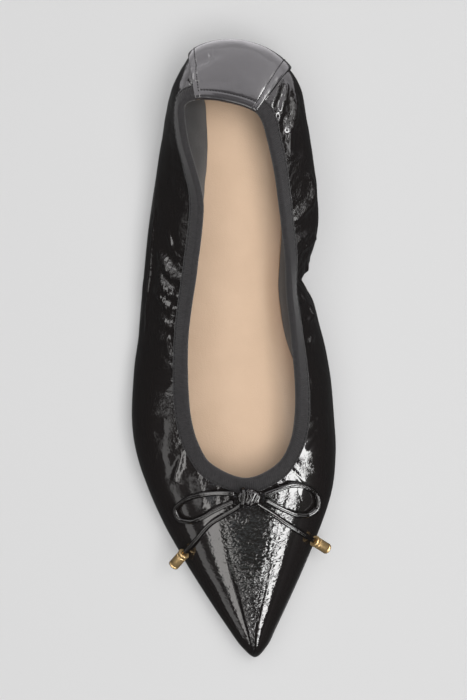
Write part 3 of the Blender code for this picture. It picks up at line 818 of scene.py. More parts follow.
def capped(rings, ends=None):
    """Points, quads and triangles of a row of rings, closed to a point at each end."""
    count, size = rings.shape[:2]
    ends = rings[[0, -1]].mean(1) if ends is None else ends
    points = np.concatenate([rings.reshape(-1, 3), ends])
    first, last, top = count * size, count * size + 1, (count - 1) * size
    j = np.arange(size)
    nearby = (j + 1) % size
    start_cap = np.stack([np.full(size, first), j, nearby], -1)
    end_cap = np.stack([np.full(size, last), top + nearby, top + j], -1)
    return points, quads_between(count, size, False, True), np.concatenate([start_cap, end_cap])


def round_section(sides):
    """A plain round section."""
    angle = np.arange(sides) * 2 * np.pi / sides
    return np.stack([np.cos(angle), np.sin(angle)], 1)


def tube(path, up, radii, section):
    """Points, quads and triangles of a tube along a path, its section turned to face up."""
    tangents = unit(np.gradient(path, axis=0))
    across = unit(np.cross(tangents, up))
    above = np.cross(across, tangents)
    rings = (
        path[:, None]
        + across[:, None] * section[None, :, :1] * radii[:, None, None]
        + above[:, None] * section[None, :, 1:] * radii[:, None, None]
    )
    return capped(rings, path[[0, -1]])


def joined(parts):
    """Several sets of points, quads and triangles as one."""
    points, quads, triangles, start = [], [], [], 0
    for part_points, part_quads, part_triangles in parts:
        points.append(part_points)
        quads.append(part_quads + start)
        triangles.append(part_triangles + start)
        start += len(part_points)
    return np.concatenate(points), np.concatenate(quads), np.concatenate(triangles)


class Finish:
    """A material with the usual shader, and short ways to add nodes to it, with sizes in millimetres."""

    def __init__(self, name, **sockets):
        self.material = bpy.data.materials.new(name)
        self.material.use_nodes = True
        self.tree = self.material.node_tree
        self.shader = self.tree.nodes["Principled BSDF"]
        for socket, value in sockets.items():
            self.shader.inputs[socket.replace("_", " ")].default_value = value

    def add(self, kind, inputs, **settings):
        """A node with these settings, its inputs linked from sockets or set to values."""
        made = self.tree.nodes.new(kind)
        for name, value in settings.items():
            setattr(made, name, value)
        for name, value in inputs.items():
            if isinstance(value, bpy.types.NodeSocket):
                self.tree.links.new(value, made.inputs[name])
            else:
                made.inputs[name].default_value = value
        return made.outputs[0]

    def place(self, scale=(1, 1, 1)):
        """The place on the object in millimetres, stretched by a scale."""
        coordinates = self.tree.nodes.new("ShaderNodeTexCoord").outputs["Object"]
        stretched = tuple(1000 * value for value in scale)
        return self.add("ShaderNodeMapping", {"Vector": coordinates, "Scale": stretched})

    def strip(self):
        """Distances in millimetres along and across a piece that has them."""
        return self.tree.nodes.new("ShaderNodeTexCoord").outputs["UV"]

    def noise(self, place, size, detail=1.0, distortion=0.0, roughness=0.5):
        """Noise with features of about that size, from 0 to 1."""
        inputs = {
            "Vector": place,
            "Scale": 1 / size,
            "Detail": detail,
            "Roughness": roughness,
            "Distortion": distortion,
        }
        return self.add("ShaderNodeTexNoise", inputs)

    def maths(self, operation, first, second=0.0):
        """One sum of two values."""
        return self.add("ShaderNodeMath", {0: first, 1: second}, operation=operation)

    def ridges(self, value):
        """Sharp crests from noise: 1 where it is half, falling on both sides."""
        return self.maths("SUBTRACT", 1.0, self.maths("ABSOLUTE", self.maths("SUBTRACT", value, 0.5)))

    def between(self, factor, low, high, blend_type="MIX"):
        """A colour between two, by a factor from 0 to 1, or blended from them in another way."""
        inputs = {"Factor": factor, 6: low, 7: high}
        made = self.add("ShaderNodeMix", inputs, data_type="RGBA", blend_type=blend_type)
        return made.node.outputs[2]

    def wave(self, place, axis, scale, **more):
        """Bands along an axis, from 0 to 1."""
        inputs = {"Vector": place, "Scale": scale}
        inputs.update((name.replace("_", " "), value) for name, value in more.items())
        return self.add("ShaderNodeTexWave", inputs, bands_direction=axis)

    def spread(self, value, to_low=0.0, to_high=1.0, low=0.3, high=0.7):
        """A value from one range, if not said that of most noise, put into another."""
        inputs = {
            "Value": value,
            "From Min": low,
            "From Max": high,
            "To Min": to_low,
            "To Max": to_high,
        }
        return self.add("ShaderNodeMapRange", inputs)

    def emboss(self, height, depth, coated=False):
        """Bumps from a height, its full range that many millimetres deep, and on a coat as well."""
        normal = self.add("ShaderNodeBump", {"Height": height, "Distance": depth * MM, "Strength": 1.0})
        self.use("Normal", normal)
        if coated:
            self.use("Coat Normal", normal)

    def use(self, name, socket):
        """Links a socket to one of the shader's inputs."""
        self.tree.links.new(socket, self.shader.inputs[name])


def patent_finish():
    """Black patent leather with a gloss coat. Its UV says how strong its coarse and fine crinkles are."""
    made = Finish(
        "patent_leather",
        Base_Color=(0.0100, 0.0082, 0.0080, 1),
        Roughness=0.30,
        Specular_IOR_Level=0.08,
        Coat_Weight=1.0,
        Coat_Roughness=0.035,
        Coat_IOR=1.55,
    )
    strength = made.add("ShaderNodeSeparateXYZ", {"Vector": made.strip()})
    wrinkles = made.noise(made.place((0.62, 1.10, 1.0)), 2.4, distortion=1.3, roughness=0.4)
    pimples = made.noise(made.place(), 1.2, distortion=0.8)
    coarse = made.maths("MULTIPLY", made.ridges(wrinkles), strength)
    fine = made.maths("MULTIPLY", made.ridges(pimples), strength.node.outputs["Y"])
    made.emboss(made.maths("ADD", coarse, fine), 0.60, coated=True)
    return made.material


def patch_finish():
    """Smooth black patent leather."""
    made = Finish(
        "patch_leather",
        Base_Color=(0.020, 0.018, 0.020, 1),
        Roughness=0.35,
        IOR=1.5,
        Coat_Weight=1.0,
        Coat_Roughness=0.11,
        Coat_IOR=1.5,
    )
    soft = made.noise(made.place(), 6.0)
    grain = made.maths("MULTIPLY", made.noise(made.place(), 0.7), 0.05)
    made.emboss(made.maths("ADD", soft, grain), 0.25, coated=True)
    return made.material


def tape_finish():
    """Charcoal elastic tape with fine ribs across it."""
    made = Finish(
        "binding_fabric",
        Base_Color=(0.036, 0.036, 0.041, 1),
        Roughness=0.85,
        Sheen_Weight=0.25,
        Sheen_Roughness=0.5,
        Specular_IOR_Level=0.25,
    )
    strip = made.strip()
    ribs = made.wave(strip, "X", 0.36, Distortion=0.6, Detail=1.0, Detail_Scale=1.5)
    threads = made.wave(strip, "Y", 0.55, Distortion=0.4)
    mottle = made.noise(made.place(), 1.6, detail=3.0, roughness=0.7)
    dark, light = (0.012, 0.0108, 0.0116, 1), (0.021, 0.0192, 0.0206, 1)
    made.use("Base Color", made.between(made.spread(mottle), dark, light))
    weave = made.maths("ADD", ribs, made.maths("MULTIPLY", threads, 0.5))
    made.emboss(made.maths("ADD", weave, mottle), 0.10)
    return made.material


def lining_finish():
    """Matte charcoal lining fabric with a plain weave."""
    made = Finish(
        "lining_fabric",
        Base_Color=(0.030, 0.030, 0.032, 1),
        Roughness=0.9,
        Sheen_Weight=0.2,
        Sheen_Roughness=0.6,
        Specular_IOR_Level=0.2,
    )
    strip = made.strip()
    crossed = made.maths("MULTIPLY", made.wave(strip, "X", 0.5), made.wave(strip, "Y", 0.5))
    mottle = made.noise(made.place(), 2.4, detail=3.0, roughness=0.65)
    dark, light = (0.011, 0.0100, 0.0107, 1), (0.020, 0.0183, 0.0195, 1)
    made.use("Base Color", made.between(made.spread(mottle), dark, light))
    made.emboss(made.maths("ADD", crossed, mottle), 0.08)
    return made.material


def sock_finish():
    """Tan sock leather, with painted shade that darkens it towards its rim, where the walls stand over
    it.
    """
    made = Finish(
        "insole_leather",
        Base_Color=(0.66, 0.48, 0.33, 1),
        Roughness=0.52,
        Specular_IOR_Level=0.35,
    )
    cloudy = made.noise(made.place(), 14.0, detail=3.0)
    rim = made.add("ShaderNodeSeparateXYZ", {"Vector": made.strip()}).node.outputs["Y"]
    colour = made.between(made.spread(cloudy), (0.565, 0.400, 0.275, 1), (0.60, 0.430, 0.300, 1))
    # Painted shade: the colour darkens towards the sock's rim, next to the walls, standing in for their
    # shadow.
    from_rim = made.spread(rim, low=0.0, high=0.28)
    painted_shade_and_wear = made.between(from_rim, (0.80, 0.70, 0.62, 1), (1.0, 1.0, 1.0, 1))
    made.use("Base Color", made.between(1.0, colour, painted_shade_and_wear, blend_type="MULTIPLY"))
    pores = made.noise(made.place(), 0.55, detail=2.0)
    creases = made.noise(made.place((1.0, 0.35, 1.0)), 3.0, detail=2.0, distortion=0.5)
    made.emboss(made.maths("ADD", pores, creases), 0.10)
    made.use("Roughness", made.spread(cloudy, 0.46, 0.60))
    return made.material


def rubber_finish():
    """Black sole rubber with a fine pebble grain."""
    made = Finish(
        "sole_rubber",
        Base_Color=(0.014, 0.0135, 0.0135, 1),
        Roughness=0.55,
        Specular_IOR_Level=0.4,
    )
    pebbles = made.add("ShaderNodeTexVoronoi", {"Vector": made.place(), "Scale": 1.1}, feature="F1")
    made.emboss(pebbles, 0.12)
    painted_shade_and_wear = made.noise(made.place(), 18.0, detail=3.0)
    made.use("Roughness", made.spread(painted_shade_and_wear, 0.45, 0.68))
    return made.material


def stack_finish():
    """The heel block's black finish, with faint layers."""
    made = Finish(
        "heel_stack",
        Base_Color=(0.013, 0.0125, 0.0125, 1),
        Roughness=0.38,
        Specular_IOR_Level=0.5,
    )
    layers = made.wave(made.place(), "Z", 0.3, Distortion=0.3, Detail=1.0)
    scuffs = made.noise(made.place((0.3, 0.3, 1.5)), 2.5, detail=3.0)
    made.emboss(made.maths("ADD", layers, scuffs), 0.06)
    made.use("Roughness", made.spread(scuffs, 0.30, 0.48))
    return made.material


def cord_finish():
    """The cord's thin glossy leather."""
    made = Finish(
        "cord_leather",
        Base_Color=(0.0070, 0.0058, 0.0056, 1),
        Roughness=0.5,
        Specular_IOR_Level=0.0,
        Coat_Weight=1.0,
        Coat_Roughness=0.03,
        Coat_IOR=1.55,
    )
    made.emboss(made.noise(made.place(), 1.1, detail=2.0, distortion=0.5), 0.07, coated=True)
    return made.material


def gold_finish():
    """Polished gold-coloured metal with faint smudges in its gloss."""
    made = Finish(
        "gold_metal",
        Base_Color=(0.66, 0.46, 0.225, 1),
        Roughness=0.33,
        Metallic=0.8,
    )
    smudge = made.noise(made.place(), 1.2, detail=2.0)
    made.use("Roughness", made.spread(smudge, 0.28, 0.42))
    made.emboss(smudge, 0.05)
    return made.material


def thread_finish():
    """Charcoal sewing thread."""
    made = Finish(
        "thread",
        Base_Color=(0.006, 0.0055, 0.006, 1),
        Roughness=0.7,
        Specular_IOR_Level=0.2,
        Sheen_Weight=0.05,
    )
    made.emboss(made.noise(made.place(), 0.3), 0.05)
    return made.material


CAMERA_PLACE = (0.050, 0.0, 1.300)
CAMERA_AIM = (-0.0005, 0.0, 0.0)
FIELD_LENGTH = 0.301
SENSOR = 36.0


def facing(place, aim):
    """The turn of a camera or a soft box that looks from a place at an aim, its long side along Y."""
    back = (Vector(place) - Vector(aim)).normalized()
    right = Vector((0, 1, 0)).cross(back).normalized()
    return Matrix((right, back.cross(right), back)).transposed().to_quaternion()


def build_camera():
    """The camera of the photograph: straight above the middle of the pair, turned to the one shoe."""
    data = bpy.data.cameras.new("camera")
    data.sensor_width = SENSOR
    data.lens = SENSOR * CAMERA_PLACE[2] / FIELD_LENGTH
    data.clip_start, data.clip_end = 0.05, 20.0
    made = bpy.data.objects.new("camera", data)
    made.location = CAMERA_PLACE
    made.rotation_mode = "QUATERNION"
    made.rotation_quaternion = facing(CAMERA_PLACE, CAMERA_AIM)
    bpy.context.scene.collection.objects.link(made)
    bpy.context.scene.camera = made


SHOE = (0.0, 0.0, 0.0)
UPWARDS = (0.0, 0.27, 1.0)
WHITE = (1.0, 1.0, 1.0)
NEARLY_WHITE = (1.0, 0.995, 0.99)
WARM = (1.0, 0.99, 0.98)
VIOLET = (0.99, 0.96, 1.0)
LIGHTS = [
    # name, place, aim, size across, size along, strength, colour, what it lights
    ("sky", (0.0, 0.0, 1.8), SHOE, 2.40, 2.60, 1.55, WHITE, "diffuse"),
    ("key", (0.336, -0.066, 1.254), SHOE, 0.50, 0.90, 7.4, NEARLY_WHITE, "diffuse"),
    ("right", (0.826, -0.182, 0.856), SHOE, 0.26, 2.40, 17.0, NEARLY_WHITE, "glossy"),
    ("left", (-0.570, -0.235, 1.090), SHOE, 0.40, 2.40, 4.3, (1.0, 0.98, 0.96), "glossy"),
    ("left_side", (-1.070, -0.480, 0.545), SHOE, 0.24, 1.10, 1.3, WARM, "glossy"),
    ("right_low", (1.110, 0.500, 0.449), SHOE, 0.24, 1.30, 2.8, WARM, "glossy"),
    ("left_low", (-1.070, 0.740, 0.545), SHOE, 0.24, 1.16, 3.6, WARM, "glossy"),
    ("front", (0.037, -0.900, 1.072), SHOE, 0.42, 0.46, 0.8, (0.84, 0.92, 1.0), "glossy"),
    ("back", (0.0, 0.40, 0.22), (0.0, 0.0, 0.22), 0.70, 0.62, 1.85, VIOLET, "glossy"),
    ("back_low", (0.0, 0.27, 0.002), UPWARDS, 0.70, 0.26, 1.2, VIOLET, "glossy"),
]
WORLD_STRENGTH = 0.05
FLOOR_SHADE = (0.41, 0.41, 0.412, 1)
FLOOR_GLOW = 0.24
REFLECTED_FLOOR_SHADE = (0.20, 0.20, 0.20, 1)


def build_light(name, place, aim, across, along_it, strength, colour, lit):
    """A soft box that only the camera doesn't see. Its strength is its own brightness."""
    data = bpy.data.lights.new(name, "AREA")
    data.shape = "RECTANGLE"
    data.size, data.size_y = across, along_it
    data.energy = strength * np.pi * across * along_it
    data.color = colour
    made = bpy.data.objects.new(name, data)
    made.location = place
    made.rotation_mode = "QUATERNION"
    made.rotation_quaternion = facing(place, aim)
    made.visible_camera = False
    made.visible_glossy = lit == "glossy"
    made.visible_diffuse = lit == "diffuse"
    bpy.context.scene.collection.objects.link(made)


def build_floor(name, shade, glow, height):
    """A wide flat floor of one shade, lit a little from below."""
    reach = 3.0
    data = bpy.data.meshes.new(name)
    corners = [(-reach, -reach), (reach, -reach), (reach, reach), (-reach, reach)]
    data.from_pydata([(*corner, height) for corner in corners], [], [(0, 1, 2, 3)])
    finish = Finish(
        name,
        Base_Color=shade,
        Roughness=0.9,
        Specular_IOR_Level=0.0,
        Emission_Color=(1, 1, 1, 1),
        Emission_Strength=glow,
    )
    data.materials.append(finish.material)
    floor = bpy.data.objects.new(name, data)
    bpy.context.scene.collection.objects.link(floor)
    return floor


def build_stage():
    """The pale floor, the even light all round and the soft boxes."""
    floor = build_floor("floor", FLOOR_SHADE, FLOOR_GLOW, 0.0)
    floor.visible_glossy = False
    reflected = build_floor("reflected_floor", REFLECTED_FLOOR_SHADE, 0.0, -0.0005)
    reflected.visible_camera = False
    reflected.visible_diffuse = False
    reflected.visible_shadow = False
    world = bpy.data.worlds.new("studio")
    world.use_nodes = True
    background = world.node_tree.nodes["Background"]
    background.inputs["Color"].default_value = (1, 1, 1, 1)
    background.inputs["Strength"].default_value = WORLD_STRENGTH
    bpy.context.scene.world = world
    bpy.context.scene.view_settings.view_transform = "Standard"
    for row in LIGHTS:
        build_light(*row)


class Drape:
    """Finds the leather's even outer face under a place seen from above."""

    def __init__(self, wall):
        self.tree = BVHTree.FromPolygons(
            wall.base.reshape(-1, 3).tolist(),
            quads_between(len(wall.base), wall.base.shape[1], True, False).tolist(),
        )

    def over(self, across, from_heel, clearance):
        """The point that far out from the face over a place, and the direction out of the face."""
        hit, normal, _, _ = self.tree.ray_cast(Vector((across, from_heel, 99.0)), Vector((0, 0, -1)))
        outward = normal * (1 if normal.z > 0 else -1)
        return np.array(hit + outward * clearance), np.array(outward)


CORD_SIDES = 28
CORD_POINT_EVERY = 0.7
SEAM_DEPTH = 0.30
SEAM_WIDTH = 0.20
SEAM_ANGLE = 0.25


def cord_section():
    """A cord's round section with the groove of its seam near the top."""
    angle = np.arange(CORD_SIDES) * 2 * np.pi / CORD_SIDES
    off_seam = (angle - np.pi / 2 - SEAM_ANGLE + np.pi) % (2 * np.pi) - np.pi
    radius = 1 - SEAM_DEPTH * np.exp(-((off_seam / SEAM_WIDTH) ** 2))
    return round_section(CORD_SIDES) * radius[:, None]


def cord_route(drape, rows):
    """A cord's centre line over the leather and the direction out of the leather beside it."""
    lifted = [drape.over(row[0], row[1], row[2] + CORD_RADIUS) for row in rows]
    points = np.array([point for point, _ in lifted])
    ups = np.array([up for _, up in lifted])
    both = curve_through(np.hstack([points, ups * 0.001]), CORD_POINT_EVERY)
    return both[:, :3], unit(both[:, 3:])


def build_cord(name, node, drape, rows, material):
    """One length of the bow's cord."""
    path, up = cord_route(drape, rows)
    reach = path_length(path)
    wobble = 1 + 0.05 * np.sin(reach / 2.3) * np.sin(reach / 5.1 + 1.0)
    points, quads, triangles = tube(path, up, CORD_RADIUS * wobble, cord_section())
    made = piece(name, points, quads, triangles, material, "cord_leather", replaced=[node])
    return path


TIP_SIDES = 36


def build_tip(name, node, path, material):
    """A turned metal tip: a rim where the cord goes in, a grooved barrel and a hollow end."""
    direction = unit(path[-1] - path[-3])
    profile = [
        # distance along the tip, radius
        (GAP + 1.6, CORD_RADIUS + 0.12),
        (GAP + 0.1, CORD_RADIUS + 0.12),
        (GAP, CORD_RADIUS + 0.3),
        (GAP, TIP_RIM_RADIUS - 0.35),
        (GAP + 0.1, TIP_RIM_RADIUS - 0.1),
        (GAP + 0.35, TIP_RIM_RADIUS),
        (GAP + 0.8, TIP_RIM_RADIUS),
        (GAP + 1.05, TIP_RIM_RADIUS - 0.1),
        (GAP + 1.2, TIP_RADIUS),
        (GAP + 1.55, TIP_RADIUS - 0.02),
        (GAP + 1.7, TIP_RADIUS - 0.16),
        (GAP + 1.95, TIP_RADIUS - 0.16),
        (GAP + 2.1, TIP_RADIUS - 0.02),
        (TIP_LENGTH - 1.3, TIP_RADIUS - 0.02),
        (TIP_LENGTH - 1.15, TIP_RADIUS - 0.12),
        (TIP_LENGTH - 0.95, TIP_RADIUS - 0.12),
        (TIP_LENGTH - 0.8, TIP_RADIUS),
        (TIP_LENGTH - 0.25, TIP_RADIUS),
        (TIP_LENGTH - 0.05, TIP_RADIUS - 0.1),
        (TIP_LENGTH, TIP_RADIUS - 0.3),
        (TIP_LENGTH, TIP_RADIUS - 0.5),
        (TIP_LENGTH - 0.2, TIP_RADIUS - 0.7),
        (TIP_LENGTH - 2.2, TIP_RADIUS - 0.75),
    ]
    side = unit(np.cross(direction, (0.0, 0.0, 1.0)))
    spokes = round_section(TIP_SIDES) @ np.array([side, np.cross(side, direction)])
    rings = np.array([path[-1] + direction * along_it + spokes * radius for along_it, radius in profile])
    return piece(name, *capped(rings), material, "gold_metal", sharp=40, replaced=[node])


def build_knot(drape, material):
    """The bow's knot: a puckered body under a strand of the cord that is drawn tight round it."""
    centre, _ = drape.over(*KNOT_PLACE)
    polar = np.linspace(0.02, np.pi - 0.02, KNOT_RINGS)[:, None]
    cosine, sine = round_section(KNOT_SIDES).T
    x, y, z = np.broadcast_arrays(np.cos(polar), np.sin(polar) * cosine, np.sin(polar) * sine)
    pinch = 1 - 0.22 * np.exp(-(((x + 0.50) / 0.20) ** 2))
    ray = np.stack([x, y, z], -1)
    slant = 5.2 * x + 2.2 * y + 1.2 * soft_noise(ray * 10, 6.0, 21)
    pucker = 0.12 * (np.abs(np.sin(1.6 * slant)) - 0.5) * np.sin(polar)
    radius = pinch * (1 + pucker + 0.05 * soft_noise(ray * 10, 3.0, 22))
    shape = ray * radius[..., None] * np.array(KNOT_RADII)
    shape[..., 0] = x * KNOT_RADII[0]
    body = capped(centre + shape)
    lean = np.radians(np.linspace(-20, 200, 44))
    strand_centre = centre + np.array([-0.52 * KNOT_RADII[0], 0.0, 0.0])
    _, wide, high = (radius * 0.86 + 0.55 for radius in KNOT_RADII)
    hoop = np.stack([0.5 * np.sin(lean * 1.5), -np.cos(lean) * wide, np.sin(lean) * high], 1)
    radii = np.full(len(hoop), KNOT_STRAND_RADIUS)
    strand = tube(strand_centre + hoop, unit(hoop), radii, cord_section())
    piece("bow_knot_body", *body, material, "cord_leather", replaced=["bow_knot"])
    piece("bow_knot_strand", *strand, material, "cord_leather")


def build_bow(drape, cord, gold):
    """The cord bow: two loops, two tails with metal tips, and the knot."""
    build_cord("bow_loop_left", "bow_loop_lateral", drape, LOOP_LATERAL, cord)
    build_cord("bow_loop_right", "bow_loop_medial", drape, LOOP_MEDIAL, cord)
    for name, side, rows in (("left", "lateral", TAIL_LATERAL), ("right", "medial", TAIL_MEDIAL)):
        path, _ = cord_route(drape, rows)
        tip = build_tip(f"bow_aglet_{name}", f"bow_tip_{side}", path, gold)
        build_cord(f"bow_end_{name}", f"bow_tail_{side}", drape, rows, cord)
    build_knot(drape, cord)


def build_upper(wall, material):
    """The gathered leather, open at the collar and underneath, with its turned-in lasting margin."""
    outer = wall.outer
    normals = grid_normals(smoothed(outer, 12))
    thickness = WALL - LINING_ROOM
    pick = np.linspace(outer.shape[1] - 1, 3, INNER_ROWS).round().astype(int)
    inner = (smoothed(outer, 4) - normals * thickness)[:, pick]
    margins = []
    for i, (side, share) in enumerate(wall.places):
        foot = outer[i, 0]
        margin = ring_point(side, share, LASTING_RING)
        low = sole_top(margin[1]) + GAP
        inward = unit(margin - foot[:2])
        corner = (*(foot[:2] + inward * WALL), foot[2] + WALL)
        margins.append([corner, (*margin, low + WALL), (*margin, low)])
    sections = np.concatenate([outer, inner, np.array(margins)], 1)
    count, size = sections.shape[:2]
    quads = quads_between(count, size, True, True)
    uv = np.full((count, size, 2), 0.2)
    uv[:, : outer.shape[1]] = wall.crinkle()
    points, uv = sections.reshape(-1, 3), uv.reshape(-1, 2)
    piece(
        "upper_leather", points, quads, NO_TRIANGLES, material, "patent_leather", uv, replaced=["upper"]
    )


ARCH_ROWS = [
    # from_heel, across where the arch pad starts to rise
    (40.0, 14.0),
    (70.0, 14.2),
    (93.0, 14.8),
    (120.0, 17.0),
    (152.0, 19.5),
    (190.0, 21.0),
]
ARCH_HEIGHT = 3.0


def insole_height(across, from_heel):
    """Height of the sock's top: crowned, with an arch pad that rises towards the medial side."""
    seat = sole_top(from_heel) + 2 * GAP + WALL + INSOLE_THICKNESS
    pad_line = table_value(ARCH_ROWS, from_heel)
    rise = ease(0.0, 12.0, across - pad_line) * ARCH_HEIGHT
    fade = ease(60.0, 95.0, from_heel) * (1 - ease(160.0, 185.0, from_heel))
    return seat + rise * fade


SOCK_STEPS = 26


def sock_rings(places):
    """The sock's rings: its bottom, its side, and its top from the rim to the middle."""
    def ring(kept):
        return np.array([ring_point(side, share, kept) for side, share in places])

    plug, edge, centre = ring(PLUG_RING), ring(INSOLE_RING), ring(CENTRE_RING)
    seat = sole_top(edge[:, 1]) + 2 * GAP + WALL
    rings = [
        np.column_stack([plug, sole_top(plug[:, 1]) + GAP]),
        np.column_stack([plug, sole_top(plug[:, 1]) + 2 * GAP + WALL]),
        np.column_stack([edge, seat]),
        np.column_stack([edge, seat + INSOLE_THICKNESS - 1.3]),
    ]
    rim = [0.0] * len(rings)
    for step in np.linspace(0, 1, SOCK_STEPS) ** 1.5:
        plan = edge + (centre - edge) * step
        round_over = 1.1 * (1 - np.sqrt(1 - (1 - min(step / 0.035, 1.0)) ** 2))
        crown = INSOLE_CROWN * ease(0.0, 0.6, step)
        height = insole_height(plan[:, 0], plan[:, 1]) + crown - round_over
        rings.append(np.column_stack([plan, height]))
        rim.append(step)
    return np.array(rings), np.array(rim)


def build_sock(places, material):
    """The padded tan sock on its core."""
    rings, rim = sock_rings(places)
    # The UV's second value runs from the rim (0) to the middle (1); the sock finish uses it to paint
    # shade at the rim.
    uv = grid_uv(rings, rings[..., 1], rim[:, None]).reshape(-1, 2)
    made = stack("sock", rings, material, "insole_leather", uv=uv, replaced=["insole"])


def lining_faces(wall):
    """The lining's inner face: it follows the wall, but leans in over the sock at the rear sides."""
    base, normals = wall.base, wall.normals
    settled = smoothed(base + normals * wall.lift[..., None] * 0.5, 10)
    inside = settled - normals * (WALL + 0.05)
    rows = LINING_ROWS
    made = np.empty((len(base), rows, 3))
    shares = np.linspace(0, 1, rows)
    for i in range(len(base)):
        path = inside[i, ::-1]
        reach = path_length(path)
        stop = sole_top(path[:, 1]) + 2 * GAP + WALL
        below = np.nonzero(path[:, 2] < stop)[0]
        end = reach[below[0]] if len(below) else reach[-1]
        made[i] = along(path, 0.6 + shares * (end - 0.6))
    for i in range(len(base)):
        lateral = wall.lateral[i]
        rows_of_side = LEAN_LATERAL_ROWS if lateral else LEAN_MEDIAL_ROWS
        from_heel = wall.collar[i, 1]
        if lateral:
            weight = (1 - ease(80.0, 108.0, from_heel)) * (1 - ease(0.925, 0.955, wall.share[i]))
        else:
            weight = ease(62.0, 80.0, from_heel) * (1 - ease(132.0, 150.0, from_heel))
        if weight == 0:
            continue
        foot_across = table_value(rows_of_side, from_heel)
        foot_height = insole_height(foot_across, from_heel) + INSOLE_CROWN + 0.3
        foot = np.array([foot_across, from_heel, foot_height])
        start = made[i, 3]
        t = np.clip((np.arange(rows) - 3) / (rows - 4), 0, 1)[:, None]
        leaning = start + (foot - start) * t
        inward = 1.0 if lateral else -1.0
        leaning[:, 0] += inward * 1.2 * np.sin(np.pi * t[:, 0])
        blended = made[i] * (1 - weight) + leaning * weight
        made[i] = np.where(np.arange(rows)[:, None] < 3, made[i], blended)
    return made


def build_lining(wall, material):
    """The fabric lining, a thin layer inside the leather."""
    face = smoothed(lining_faces(wall), 3)
    wrinkle = 0.22 * soft_noise(face * np.array([1.0, 1.0, 0.5]), 6.0, 31)
    normals = grid_normals(face[:, ::-1])[:, ::-1]
    shown = face - normals * wrinkle[..., None]
    back = face + normals * 0.4
    uv = grid_uv(face, wall.collar_reach[:, None], np.linspace(0, 30, face.shape[1]))
    shell("lining", shown, back, True, material, "lining_fabric", uv=uv)


FOLD_STEPS = 8
TAPE_SEAM = 1.1
PATCH_SEAM = 1.9
PATCH_TOP_SEAM = 2.2


def wrapped(points, wall, columns, outer_depths, inner_depths, offset):
    """Lines that come up the wall's outer face, turn over the collar and go down inside, at an offset."""
    grid = sampled(points, columns)
    directions = sampled(wall.normals, columns)
    depths = sampled(wall.depth, columns)
    outer = at_depths(grid, depths, outer_depths)
    outer_out = at_depths(directions, depths, outer_depths)
    inner = at_depths(grid, depths, inner_depths)
    inner_out = at_depths(directions, depths, inner_depths)
    out = directions[:, -1]
    up = grid[:, -1] - grid[:, -3]
    up = unit(up - out * (up * out).sum(1, keepdims=True))
    centre = grid[:, -1] - out * WALL / 2
    turn = np.linspace(0, np.pi, FOLD_STEPS + 2)[1:-1, None]
    offset = np.broadcast_to(offset, (len(columns), len(outer_depths)))[..., None]
    at_collar = offset[:, -1:]
    width = WALL / 2 + at_collar
    sideways = out[:, None] * np.cos(turn) * width
    upwards = up[:, None] * np.sin(turn) * (width - 0.3)
    arc = centre[:, None] + sideways + upwards
    return np.concatenate([outer + outer_out * offset, arc, inner - inner_out * (WALL + at_collar)], 1)


def build_tape(wall, material, thread):
    """The elastic tape folded over the collar, with its seam."""
    count = len(wall.base)
    patched = np.nonzero(wall.under_patch())[0]
    first, last = patched.max() - 2, patched.min() + 2 + count
    columns = np.arange(first, last + 1, 1.0)
    swell = wall.base + wall.normals * (smoothed(wall.lift[..., None], 5) * 0.55)
    edge_depths = [BINDING_DEPTH, BINDING_DEPTH - 0.12]
    outer_depths = np.concatenate([edge_depths, np.linspace(BINDING_DEPTH - 0.5, 0.0, 11)])
    inner_depths = np.linspace(0.3, BINDING_DEPTH, 7)
    rows = len(outer_depths)
    far_offset = np.full((len(columns), rows), OVERLAY_GAP + BINDING_THICKNESS)
    far_offset[:, 0] -= 0.4
    far_offset[:, 1] -= 0.12
    seam = (outer_depths - (BINDING_DEPTH - TAPE_SEAM)) / 0.22
    far_offset -= 0.14 * np.exp(-(seam**2))
    far = wrapped(swell, wall, columns, outer_depths, inner_depths, far_offset)
    near = wrapped(swell, wall, columns, outer_depths, inner_depths, OVERLAY_GAP - 0.15)
    lengths = path_length(far[:, rows - 1])
    uv = grid_uv(far, lengths[:, None], path_length(far[len(far) // 2]))
    shell("collar_tape", far, near, False, material, "binding_fabric", uv=uv, replaced=["collar_binding"])
    row = int(np.argmin(np.abs(seam)))
    outward = sampled(wall.normals, columns)[:, -1]
    sew("tape_seam", [(far[:, row], outward)], 2.1, 1.5, 0.16, thread, "binding_fabric")


def sew(name, lines, pitch, length, radius, material, slot):
    """Stitches along lines that each come with the direction out of the surface."""
    parts = []
    for line, outward in lines:
        whole = path_length(line)[-1]
        both = np.hstack([line, outward])
        for start in np.arange(pitch / 2, whole - length, pitch):
            at = along(line, start + np.linspace(0, length, 7), both)
            hump = np.sin(np.linspace(0, np.pi, 7))
            up = unit(at[:, 3:])
            path = at[:, :3] + up * (hump * 0.10 - 0.02)[:, None]
            taper = radius * (0.55 + 0.45 * hump)
            parts.append(tube(path, up, taper, round_section(8)))
    piece(name, *joined(parts), material, slot)


